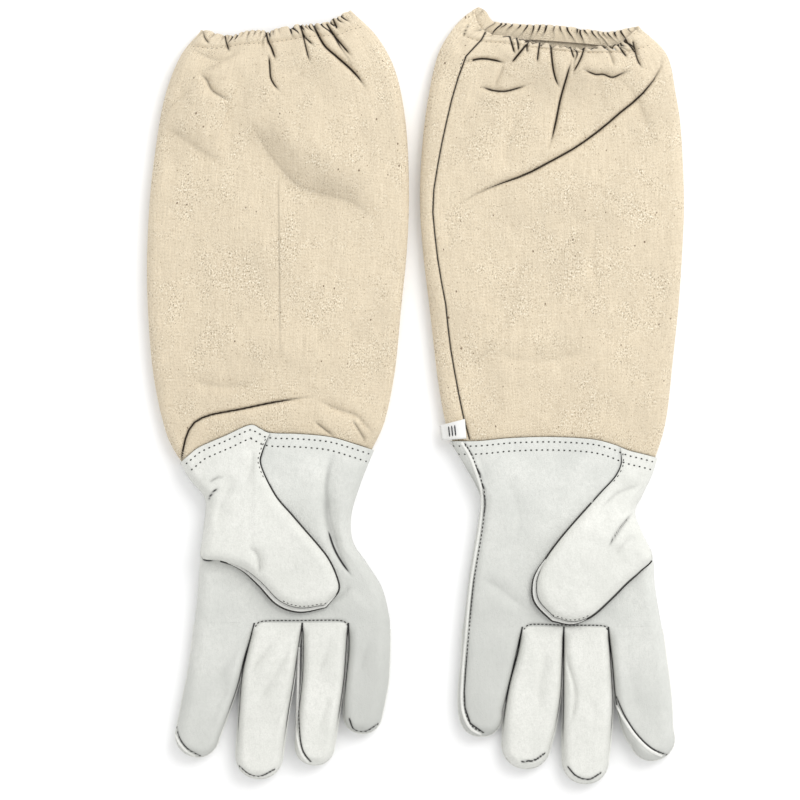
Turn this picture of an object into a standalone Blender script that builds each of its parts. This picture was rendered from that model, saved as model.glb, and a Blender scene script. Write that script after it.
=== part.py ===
"""A pair of beekeeping gloves lying palm up: leather hands sewn to canvas sleeves with an elastic hem.

Each glove is drawn in its own frame, in millimetres: x runs from the thumb side (-) to the little finger
side (+), y towards the arm, z up from the surface it lies on. The left-hand glove is its mirror.
"""

import math

import bmesh
import bpy
from mathutils import Vector

MM = 0.001

# Driving dimensions, in millimetres.
GLOVE_SPACING = 170.0  # between the two gloves' centre lines
LEATHER = 1.2
CANVAS = 1.0
CLEARANCE = 0.3  # between pieces that lie on each other
SEAM_HEIGHT = 7.0  # of the side seams, where front and back leather meet
SLEEVE_SEAM_HEIGHT = 8.0  # of the sleeve's edges
HAND_HEIGHT = 16.0
CUFF_HEIGHT = 18.0  # of the leather's top edge
TUCKED_HEIGHT = 17.5  # of the canvas inside the leather, before it is moved inwards
FINGER_HEIGHT = 15.0
THUMB_THICKNESS = 15.0
THUMB_LIFT = 0.5  # from the palm to the thumb folded over it
SLEEVE_HEIGHT = 17.0
OPENING_HEIGHT = 21.0
CUFF_LIFT = 1.5  # the leather's underside rises this much at the cuff seam
CUFF_OVERLAP = 14.0  # length of canvas tucked into the leather
TUCK = LEATHER + CLEARANCE + 0.5  # from the leather's outside to the canvas tucked into it
HEM_GAP = 0.9  # between the layers of the hem
HEM_ROWS = (12.0, 9.0, 6.0, 2.5, 0.5)  # distances below the opening
ELASTIC_ROWS = (9.0, 6.0, 2.5)
NECK_ROWS = (34.0, 25.0, 17.0)  # where the sleeve narrows towards its hem
ELASTIC = 1.2
WELT = 1.0
WELT_WIDTH = 2.8
THREAD_RADIUS = 0.4
STITCH_ROWS = (4.5, 10.0)  # below the leather's top edge
SEAM_GAP = 0.9  # from the seam's middle plane, or its welt, to the leather on either side
WING_SEAM_GAP = 0.012  # from the wing's seam to either leather, as a share of half the hand's width
KNUCKLE_GAP = 0.5  # between hand and finger shells, at the joint
TAG = 0.8
SLEEVE_STEPS = 28  # points round the sleeve
DIGIT_STEPS = 6  # rows along a digit, before its round tip
TIP_ANGLES = (28, 52, 72)  # rows round a digit's tip, in degrees

# Colours: red, green, blue.
CANVAS_CREAM = (0.78, 0.67, 0.50)
LEATHER_GREY = (0.71, 0.73, 0.71)
LEATHER_WHITE = (0.83, 0.84, 0.81)
THREAD_GREY = (0.42, 0.41, 0.38)
TAG_WHITE = (0.9, 0.9, 0.88)
ELASTIC_WHITE = (0.85, 0.85, 0.83)

# Outlines. A sleeve's edges run from the leather to the opening, a hand's from the cuff to the knuckles.
# A digit's spine is (x, y, half width) from its root to the centre of its round tip.
GLOVES = {
    "right": {
        "side": 1,
        "centre": -GLOVE_SPACING / 2,
        "sleeve_thumb_edge": [(-61, -41), (-69, -24), (-77, 8), (-81, 60), (-80, 115), (-77, 146),
                              (-70, 185), (-60, 211), (-49, 226)],
        "sleeve_little_edge": [(59, -34), (67, -13), (73, 20), (79, 80), (81, 127), (79, 167), (72, 202),
                               (62, 222), (46, 239)],
        "hand_thumb_edge": [(-61, -41), (-54.5, -53), (-44.5, -66), (-46.5, -83), (-48.5, -103),
                            (-51.5, -141)],
        "hand_little_edge": [(59, -34), (52, -53), (45, -74), (46, -91), (54.5, -104), (64, -119),
                             (69, -141)],
        "cuff_arch": 14,
        "opening_front_arch": -5,
        "opening_back_arch": 0,
        "knuckle_y": -141,
        "wing_seam": [(-5, -23), (-9, -40), (-9, -47), (-6, -56), (-14, -66), (-22, -76), (-31, -87),
                      (-39, -97)],
        "thumb": [(-22, -76, 25.5), (-9, -87, 23), (3, -97, 21.5), (14, -107, 20.5), (20.5, -112.5, 19.5)],
        "fingers": {
            "index": [(-33.7, -141, 17.6), (-37, -158, 16.9), (-40.5, -176, 16), (-45.5, -194, 14.6),
                      (-48.8, -209.5, 13.6)],
            "middle": [(0.1, -141, 13.6), (-3.3, -158, 15.4), (-6.4, -176, 16.2), (-8.4, -197, 15.3),
                       (-10, -222, 14.3)],
            "ring": [(29.2, -141, 13.2), (28.7, -158, 13.3), (27.7, -176, 12.9), (25.2, -196, 12.5),
                     (23, -217, 11.6)],
            "little": [(56.6, -141, 12.2), (56.3, -158, 12.7), (55, -176, 13), (53.2, -190, 12.5),
                       (52.3, -197, 11.8)],
        },
    },
    "left": {
        "side": -1,
        "centre": GLOVE_SPACING / 2,
        "sleeve_thumb_edge": [(-65, -39), (-70.5, -15), (-75, 22), (-80, 84), (-81.5, 125), (-80, 160),
                              (-76.5, 186), (-70, 212), (-54, 229)],
        "sleeve_little_edge": [(64, -28), (67, -14), (72, 20), (79, 80), (82, 121), (81, 152), (77, 184),
                               (71, 211), (62, 228), (48, 239)],
        "hand_thumb_edge": [(-65, -39), (-60, -53), (-50.5, -71), (-56, -85), (-62.5, -101), (-63.5, -117),
                            (-67.3, -143)],
        "hand_little_edge": [(64, -28), (54, -44), (45, -63), (46.5, -80), (51, -108), (55.4, -143)],
        "cuff_arch": 8,
        "opening_front_arch": -16,
        "opening_back_arch": -4,
        "knuckle_y": -143,
        "wing_seam": [(-42, -33), (-41, -45), (-35, -54), (-29, -62), (-37, -71), (-46, -80), (-55, -90),
                      (-59, -96)],
        "thumb": [(-45, -79, 22), (-36, -90, 23), (-24, -103, 23), (-14, -113.5, 22), (-8, -120, 20)],
        "fingers": {
            "index": [(-51.1, -143, 15.9), (-53.6, -164, 16.8), (-56, -185.7, 17.1), (-58.5, -204, 16),
                      (-61, -212.5, 14.4)],
            "middle": [(-20.7, -143, 13), (-21.3, -164, 14.5), (-21.9, -189, 15.3), (-21.2, -210.5, 15),
                       (-20.5, -226, 14)],
            "ring": [(6, -143, 11.8), (7.8, -161, 13.9), (11, -182.6, 16.2), (14.4, -204, 16.2),
                     (16, -216, 14.8)],
            "little": [(37.6, -143, 17.4), (40.1, -164, 16.2), (43.2, -182.6, 15), (44.4, -193, 13.8),
                       (44.3, -198, 13)],
        },
    },
}


def clear_scene():
    for obj in list(bpy.data.objects):
        bpy.data.objects.remove(obj)


def lerp(a, b, t):
    return a + (b - a) * t


def smooth(points, count):
    """count points, evenly spaced along a Catmull-Rom curve through the given ones."""
    ends = [points[0], *points, points[-1]]
    fine = []
    for p0, p1, p2, p3 in zip(ends, ends[1:], ends[2:], ends[3:]):
        for step in range(10):
            t = step / 10
            fine.append(tuple(
                0.5 * (2 * b + (c - a) * t + (2 * a - 5 * b + 4 * c - d) * t ** 2
                       + (3 * b - a - 3 * c + d) * t ** 3)
                for a, b, c, d in zip(p0, p1, p2, p3)
            ))
    fine.append(tuple(points[-1]))
    along = [0.0]
    for a, b in zip(fine, fine[1:]):
        along.append(along[-1] + math.dist(a[:2], b[:2]))
    found, k = [], 0
    for i in range(count):
        at = along[-1] * i / (count - 1)
        while k < len(fine) - 2 and along[k + 1] < at:
            k += 1
        t = (at - along[k]) / max(along[k + 1] - along[k], 1e-9)
        found.append(tuple(lerp(a, b, t) for a, b in zip(fine[k], fine[k + 1])))
    return found


def along_edge(edge, share):
    """The point at a share of an outline's length."""
    fine = smooth(edge, 41)
    at = share * 40
    k = min(int(at), 39)
    return tuple(lerp(a, b, at - k) for a, b in zip(fine[k], fine[k + 1]))


def x_at(edge, y):
    """The x of an outline at the height y. The outline's y runs one way."""
    fine = smooth(edge, 40)
    for a, b in zip(fine, fine[1:]):
        if min(a[1], b[1]) <= y <= max(a[1], b[1]):
            return lerp(a[0], b[0], (y - a[1]) / (b[1] - a[1]))
    return min(fine, key=lambda p: abs(p[1] - y))[0]


def material(name, colour, roughness):
    found = bpy.data.materials.get(name) or bpy.data.materials.new(name)
    found.use_nodes = True
    shader = found.node_tree.nodes["Principled BSDF"]
    shader.inputs["Base Color"].default_value = (*colour, 1)
    shader.inputs["Roughness"].default_value = roughness
    shader.inputs["Metallic"].default_value = 0
    return found


def place(glove, x, y, z):
    """A point of a glove's own frame, in metres, in the pair's frame."""
    return Vector((glove["centre"] + glove["side"] * x, y, z)) * MM


def add_object(name, data, collection, finish):
    obj = bpy.data.objects.new(name, data)
    obj.data.materials.append(finish)
    collection.objects.link(obj)
    return obj


def shell(name, glove, rows, thickness, collection, finish, closed=False):
    """A sheet through rows of points, made thicker on its inner side. A row of one point closes its end."""
    mesh = bmesh.new()
    grid = [[mesh.verts.new(place(glove, *p)) for p in row] for row in rows]
    for low, high in zip(grid, grid[1:]):
        columns = len(low) if closed else len(low) - 1
        for i in range(columns):
            j = (i + 1) % len(low)
            corners = [low[i], low[j], high[0]] if len(high) == 1 else [low[i], low[j], high[j], high[i]]
            mesh.faces.new(corners[::-glove["side"]])
    data = bpy.data.meshes.new(name)
    mesh.to_mesh(data)
    mesh.free()
    obj = add_object(name, data, collection, finish)
    wall = obj.modifiers.new("Wall", "SOLIDIFY")
    wall.thickness = thickness * MM
    wall.offset = -1
    wall.use_even_offset = True
    data.shade_smooth()
    return obj


def thread(name, glove, points, collection, finish, closed=False):
    """A sewing thread along points."""
    data = bpy.data.curves.new(name, "CURVE")
    data.dimensions = "3D"
    data.bevel_depth = THREAD_RADIUS * MM
    data.bevel_resolution = 1
    data.use_fill_caps = not closed
    line = data.splines.new("POLY")
    line.points.add(len(points) - 1)
    for point, at in zip(line.points, points):
        point.co = (*place(glove, *at), 1)
    line.use_cyclic_u = closed
    return add_object(name, data, collection, finish)


def section_height(u, low, seam, high, front):
    """The height of a flattened tube's surface at u, which is -1 to 1 across it. Its underside is flat."""
    rise = max(0.0, 1 - u * u) ** 0.5
    if front:
        return seam + (high - seam) * rise ** 0.6
    return seam - (seam - low) * min(1.0, 1.12 * rise ** 0.5)


def ring(a, b, low, seam, high, front_arch, back_arch, inset):
    """A closed flattened section from edge point a (thumb side) to b, its wall moved in by inset."""
    half, steps = math.dist(a, b) / 2, SLEEVE_STEPS
    section = []
    for i in range(steps):
        angle = 2 * math.pi * i / steps
        u = math.cos(angle)
        section.append((half * u, section_height(u, low, seam, high, angle < math.pi)))
    points = []
    for i, (across, height) in enumerate(section):
        before, after = Vector(section[i - 1]), Vector(section[(i + 1) % steps])
        along = (after - before).normalized()
        moved = Vector((across, height)) + Vector((-along.y, along.x)) * inset
        share = (moved.x / half + 1) / 2
        arch = (front_arch if 2 * i <= steps else back_arch) * math.sin(2 * math.pi * i / steps) ** 2
        points.append((lerp(a[0], b[0], share), lerp(a[1], b[1], share) + arch, moved.y))
    return points


def sleeve_ring(glove, share, inset):
    """The sleeve's section at a share of its length, 0 at the leather and 1 at the opening."""
    a, b = along_edge(glove["sleeve_thumb_edge"], share), along_edge(glove["sleeve_little_edge"], share)
    low = CUFF_LIFT * max(0.0, 1 - share / 0.12)
    return ring(a, b, low, SLEEVE_SEAM_HEIGHT, *sleeve_rise(glove, share), inset)


def sleeve_rise(glove, share):
    """The sleeve's height, and how far its front and its back reach beyond the line between its edges."""
    high = lerp(SLEEVE_HEIGHT, OPENING_HEIGHT, max(0.0, share - 0.7) / 0.3)
    front_arch = glove["cuff_arch"] * (1 - share) ** 3 + glove["opening_front_arch"] * share ** 6
    return high, front_arch, glove["opening_back_arch"] * share ** 6


def below_opening(glove, distance):
    """The share of the sleeve's length at a distance below its opening."""
    return 1 - distance / math.dist(glove["sleeve_thumb_edge"][0], glove["sleeve_thumb_edge"][-1])


def add_sleeve(hand, glove, collection):
    canvas = material("canvas", CANVAS_CREAM, 0.9)
    rows = []
    for share in (1.0, 0.5):
        a_y = glove["hand_thumb_edge"][0][1] - CUFF_OVERLAP * share
        b_y = glove["hand_little_edge"][0][1] - CUFF_OVERLAP * share
        a = (x_at(glove["hand_thumb_edge"], a_y), a_y)
        b = (x_at(glove["hand_little_edge"], b_y), b_y)
        rows.append(ring(a, b, CUFF_LIFT, SEAM_HEIGHT, TUCKED_HEIGHT, glove["cuff_arch"], 0, TUCK))
    rows.append(sleeve_ring(glove, 0, TUCK))
    shares = [0.1, 0.2, 0.3, 0.4, 0.5, 0.6, 0.7, 0.8]
    shares += [below_opening(glove, distance) for distance in (*NECK_ROWS, *HEM_ROWS, 0)]
    rows += [sleeve_ring(glove, share, 0) for share in shares]
    shell(f"{hand}_canvas_sleeve", glove, rows, CANVAS, collection, canvas, closed=True)


def add_hem(hand, glove, collection):
    """The canvas turned in at the opening, the elastic it holds, and the stitches that close it."""
    inset = CANVAS + HEM_GAP
    rows = [sleeve_ring(glove, below_opening(glove, distance), inset) for distance in ELASTIC_ROWS]
    elastic = material("elastic", ELASTIC_WHITE, 0.7)
    shell(f"{hand}_cuff_elastic", glove, rows, ELASTIC, collection, elastic, closed=True)
    inset += ELASTIC + HEM_GAP
    rows = [sleeve_ring(glove, below_opening(glove, distance), inset) for distance in HEM_ROWS]
    canvas = material("canvas", CANVAS_CREAM, 0.9)
    shell(f"{hand}_hem_turning", glove, rows, CANVAS, collection, canvas, closed=True)
    around = sleeve_ring(glove, below_opening(glove, HEM_ROWS[0]), -CLEARANCE - THREAD_RADIUS)
    thread(f"{hand}_hem_thread", glove, around[1:14], collection, material("thread", THREAD_GREY, 0.8))


def add_side_seam(hand, glove, collection):
    """The felled strip inside the sleeve's little finger side, and its thread outside."""
    canvas = material("canvas", CANVAS_CREAM, 0.9)
    depth, rows, line = CANVAS + CLEARANCE, [], []
    for i in range(17):
        share = lerp(0.1, 0.88, i / 16)
        a, b = along_edge(glove["sleeve_thumb_edge"], share), along_edge(glove["sleeve_little_edge"], share)
        high, arch, _ = sleeve_rise(glove, share)

        def at(from_edge, down):
            u = 1 - from_edge / (math.dist(a, b) / 2)
            x, y = lerp(a[0], b[0], (u + 1) / 2), lerp(a[1], b[1], (u + 1) / 2)
            return x, y + arch * (1 - u * u), section_height(u, 0, SLEEVE_SEAM_HEIGHT, high, True) - down

        rows.insert(0, [at(19, depth + 0.6), at(14.5, depth + 0.9), at(10, depth + 1.4)])
        line.append(at(9, -(CLEARANCE + THREAD_RADIUS + 0.2)))
    shell(f"{hand}_sleeve_seam_strip", glove, rows, CANVAS, collection, canvas)
    thread(f"{hand}_side_seam_thread", glove, line, collection, material("thread", THREAD_GREY, 0.8))


def hand_point(glove, t, u, front, gap):
    """A point of the hand's surface: t runs from the cuff (0) to the knuckles (1), u across it."""
    thumb_y = lerp(glove["hand_thumb_edge"][0][1], glove["knuckle_y"], t)
    little_y = lerp(glove["hand_little_edge"][0][1], glove["knuckle_y"], t)
    a = x_at(glove["hand_thumb_edge"], thumb_y)
    b = x_at(glove["hand_little_edge"], little_y)
    arch = glove["cuff_arch"] * (1 - u * u) * max(0.0, 1 - t / 0.6) ** 2 if front else 0
    low = CUFF_LIFT * max(0.0, 1 - t / 0.25)
    high = lerp(CUFF_HEIGHT, HAND_HEIGHT, min(1.0, t / 0.3))
    seam = SEAM_HEIGHT + (gap if front else -gap)
    x = lerp(a, b, (u + 1) / 2)
    y = lerp(thumb_y, little_y, (u + 1) / 2) + arch
    return x, y, section_height(u, low, seam, high, front)


def u_at(glove, t, x):
    """Where x lies across the hand, from -1 to 1."""
    left, right = hand_point(glove, t, -1, True, 0)[0], hand_point(glove, t, 1, True, 0)[0]
    return 2 * (x - left) / (right - left) - 1


def spread(start, end, count):
    """Numbers from start to end, closer together near -1 and 1, where the section is round."""
    first, last = math.asin(start), math.asin(end)
    return [math.sin(lerp(first, last, i / (count - 1))) for i in range(count)]


def add_hand(hand, glove, collection):
    """The palm, the thumb's wing beside it, and the back of the hand."""
    grey = material("grey_leather", LEATHER_GREY, 0.75)
    white = material("white_leather", LEATHER_WHITE, 0.6)
    gap, steps = SEAM_GAP, 12
    end_gap = KNUCKLE_GAP / (glove["hand_thumb_edge"][0][1] - glove["knuckle_y"])
    palm, wing, back = [], [], []
    for i in range(steps + 1):
        t = lerp(0, 1 - end_gap, i / steps)
        middle_y = hand_point(glove, t, 0, True, 0)[1]
        if middle_y > glove["wing_seam"][-1][1]:
            seam_u = u_at(glove, t, x_at(glove["wing_seam"], middle_y))
            palm.append([hand_point(glove, t, u, True, gap) for u in spread(seam_u + WING_SEAM_GAP, 1, 9)])
            wing.append([hand_point(glove, t, u, True, gap) for u in spread(-1, seam_u - WING_SEAM_GAP, 6)])
        else:
            palm.append([hand_point(glove, t, u, True, gap) for u in spread(-1, 1, 9)])
        back.append([hand_point(glove, t, u, False, gap) for u in spread(1, -1, 11)])
    shell(f"{hand}_palm", glove, palm, LEATHER, collection, grey)
    shell(f"{hand}_thumb_wing", glove, wing, LEATHER, collection, white)
    shell(f"{hand}_hand_back", glove, back, LEATHER, collection, grey)
    stitches = material("thread", THREAD_GREY, 0.8)
    for row, below in zip(("upper", "lower"), STITCH_ROWS):
        t = below / (glove["hand_thumb_edge"][0][1] - glove["knuckle_y"])
        line = [hand_point(glove, t, u, True, gap) for u in spread(-0.97, 0.97, 26)]
        line = [(x, y, z + CLEARANCE + THREAD_RADIUS + 0.2) for x, y, z in line]
        thread(f"{hand}_cuff_thread_{row}", glove, line, collection, stitches)
    first, last = glove["fingers"]["middle"][0], glove["fingers"]["ring"][0]
    t = 1 - 2 / (glove["hand_thumb_edge"][0][1] - glove["knuckle_y"])
    xs = [lerp(first[0] - first[2], last[0] + last[2], i / 12) for i in range(13)]
    line = [hand_point(glove, t, u_at(glove, t, x), True, gap) for x in xs]
    line = [(x, y, z + CLEARANCE + THREAD_RADIUS + 0.1) for x, y, z in line]
    thread(f"{hand}_finger_base_thread", glove, line, collection, stitches)


def digit_stations(spine, straight_root):
    """(centre, direction across, half width, share of full height) rows from a digit's root to its tip."""
    body = smooth(spine, DIGIT_STEPS)
    stations = []
    for i, (x, y, half) in enumerate(body):
        before, after = body[max(i - 1, 0)], body[min(i + 1, DIGIT_STEPS - 1)]
        along = Vector((after[0] - before[0], after[1] - before[1])).normalized()
        if straight_root:
            along = Vector((0, -1)).lerp(along, min(1, i / 2)).normalized()
        stations.append((Vector((x, y)), Vector((-along.y, along.x)), half, 1.0))
    centre, across, half, _ = stations[-1]
    along = Vector((across.y, -across.x))
    for degrees in TIP_ANGLES:
        turn = math.radians(degrees)
        stations.append((centre + along * half * math.sin(turn), across, half * math.cos(turn), math.cos(turn)))
    return stations, centre + along * half


def digit_rows(stations, tip, low, seam, high, front, gap, offset):
    """Rows across one side of a digit, front or back, moved along the digit by offset at its root."""
    edge = seam + (gap if front else -gap)
    rows = []
    for centre, across, half, full in stations:
        columns = spread(-1, 1, 7) if front else spread(1, -1, 7)
        row = []
        for u in columns:
            at = centre + across * half * u
            top, bottom = lerp(seam, high, full ** 0.7), lerp(seam, low, full ** 0.5)
            row.append((at.x, at.y - offset, section_height(u, bottom, edge, max(top, edge), front)))
        rows.append(row)
    rows.append([(tip.x, tip.y - offset, edge)])
    return rows


def welt_rows(stations, tip, seam, offset):
    """The leather strip sewn in a digit's side seam: two edges that go round its outline."""
    outline = [(c - w * h, -w) for c, w, h, _ in stations]
    outline.append((tip, (tip - stations[-1][0]).normalized()))
    outline += [(c + w * h, w) for c, w, h, _ in reversed(stations)]
    rows = []
    for k, (at, outward) in enumerate(outline):
        before, after = outline[max(k - 1, 0)][0], outline[min(k + 1, len(outline) - 1)][0]
        along = (after - before).normalized()
        normal = Vector((-along.y, along.x))
        if normal.dot(outward) < 0:
            normal.negate()
        inner, outer = at - normal * (WELT_WIDTH + 0.4), at - normal * 0.4
        rows.append([(p.x, p.y - offset, seam - WELT / 2) for p in (inner, outer)])
    return rows


def add_digit(hand, name, glove, spine, low, seam, high, straight_root, collection, finish, back_finish):
    """A digit's front and back leather and the welt between them."""
    stations, tip = digit_stations(spine, straight_root)
    offset = KNUCKLE_GAP if straight_root else 0
    gap = WELT / 2 + SEAM_GAP
    for part, front in (("front", True), ("back", False)):
        rows = digit_rows(stations, tip, low, seam, high, front, gap, offset)
        shell(f"{hand}_{name}_{part}", glove, rows, LEATHER, collection, finish if front else back_finish)
    shell(f"{hand}_{name}_welt", glove, welt_rows(stations, tip, seam, offset), WELT, collection, finish)


def add_size_tag(hand, glove, collection):
    """A folded woven label held by the side seam, lying on the sleeve's edge."""
    bottom_y, top_y = -28.0, -16.0
    rows = []
    for y in (bottom_y, top_y):
        edge = x_at(glove["sleeve_little_edge"], y)
        height = SLEEVE_HEIGHT + 1.2
        rows.append([(edge - 9, y, height), (edge - 2, y + 0.5, height - 1), (edge + 5, y + 1, height - 5)])
    shell(f"{hand}_size_tag", glove, rows, TAG, collection, material("tag", TAG_WHITE, 0.8))


def add_glove(hand, glove, collection):
    grey = material("grey_leather", LEATHER_GREY, 0.75)
    white = material("white_leather", LEATHER_WHITE, 0.6)
    add_sleeve(hand, glove, collection)
    add_hem(hand, glove, collection)
    add_side_seam(hand, glove, collection)
    add_hand(hand, glove, collection)
    for name, spine in glove["fingers"].items():
        front = white if name in ("middle", "ring") else grey
        add_digit(hand, name, glove, spine, 0, SEAM_HEIGHT, FINGER_HEIGHT, True, collection, front, grey)
    low = HAND_HEIGHT + THUMB_LIFT
    add_digit(hand, "thumb", glove, glove["thumb"], low, low + THUMB_THICKNESS * 0.4, low + THUMB_THICKNESS,
              False, collection, white, white)


def build():
    clear_scene()
    collection = bpy.data.collections.new("beekeeping_gloves")
    bpy.context.scene.collection.children.link(collection)
    for hand, glove in GLOVES.items():
        add_glove(hand, glove, collection)
    add_size_tag("left", GLOVES["left"], collection)


build()
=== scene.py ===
"""The looks of a pair of beekeeping gloves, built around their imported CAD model.

Each glove is drawn in its own frame, in millimetres: x runs from the thumb side (-) to the little finger
side (+), y towards the arm, z up from the surface it lies on. The left-hand glove is that frame's mirror.
"""

import math

import bmesh
import bpy
import numpy as np
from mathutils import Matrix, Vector
from mathutils.bvhtree import BVHTree


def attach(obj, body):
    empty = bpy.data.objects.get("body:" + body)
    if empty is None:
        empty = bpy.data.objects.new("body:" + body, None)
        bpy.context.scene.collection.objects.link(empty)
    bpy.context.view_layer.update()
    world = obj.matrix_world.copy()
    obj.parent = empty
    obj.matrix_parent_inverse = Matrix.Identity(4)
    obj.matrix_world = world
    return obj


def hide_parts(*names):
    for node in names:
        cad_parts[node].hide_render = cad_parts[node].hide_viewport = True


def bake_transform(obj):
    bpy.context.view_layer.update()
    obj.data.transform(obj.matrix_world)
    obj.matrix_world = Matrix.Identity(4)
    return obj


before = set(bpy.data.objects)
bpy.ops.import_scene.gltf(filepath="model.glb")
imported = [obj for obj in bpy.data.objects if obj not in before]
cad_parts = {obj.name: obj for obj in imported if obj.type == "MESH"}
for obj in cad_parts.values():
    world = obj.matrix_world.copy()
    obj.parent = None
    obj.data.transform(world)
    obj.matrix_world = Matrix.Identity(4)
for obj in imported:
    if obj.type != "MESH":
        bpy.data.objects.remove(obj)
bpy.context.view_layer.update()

MM = 0.001

# Driving sizes, in millimetres.
GLOVE_CENTRE = 85.0  # from the middle of the pair to the middle of each glove
LEATHER = 1.3
FLOOR_GAP = 0.4
HAND_SEAM = 7.0  # height of the side seams of the hand and the fingers
HAND_HEIGHT = 15.5
HAND_ROUND = 8.0  # radius of the rounding beside a seam
FINGER_ROUND = 5.5  # and between two fingers
PALM_WIDTH = 115.0
ROOT_LENGTH = (7, 9)  # and before and beyond a thumb's root
SLEEVE_SEAM = 7.5
SLEEVE_ROUND = 7.0
SLEEVE_WIDTH = 161.0
SLEEVE_LENGTH = 272.0
CUFF_HEIGHT = 13.2
SLEEVE_HEIGHT = 12.0
OPENING_HEIGHT = 7.5
SLEEVE_CROWN = 1.6
LEAST_RISE = 3.4  # the sleeve's front stays this far above its side seams
HEM = 12.0  # depth of the hem that holds the elastic
THUMB_ROUND = 6.5
WELT_REACH = 2.4  # how far the thumb's welt stands out of its seam
STITCH_ROWS = (3.0, 8.0)  # below the leather's edge

# Where each piece is cut from its skin or cloth, so that no two show the same marks.
SLEEVE_BACK_CUT = 240
FRONT_CUT = (0, 0, 40)
BACK_CUT = (300, 0, 90)
THUMB_FRONT_CUT = (0, 0, 70)
THUMB_BACK_CUT = (0, 200, 70)

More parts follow.
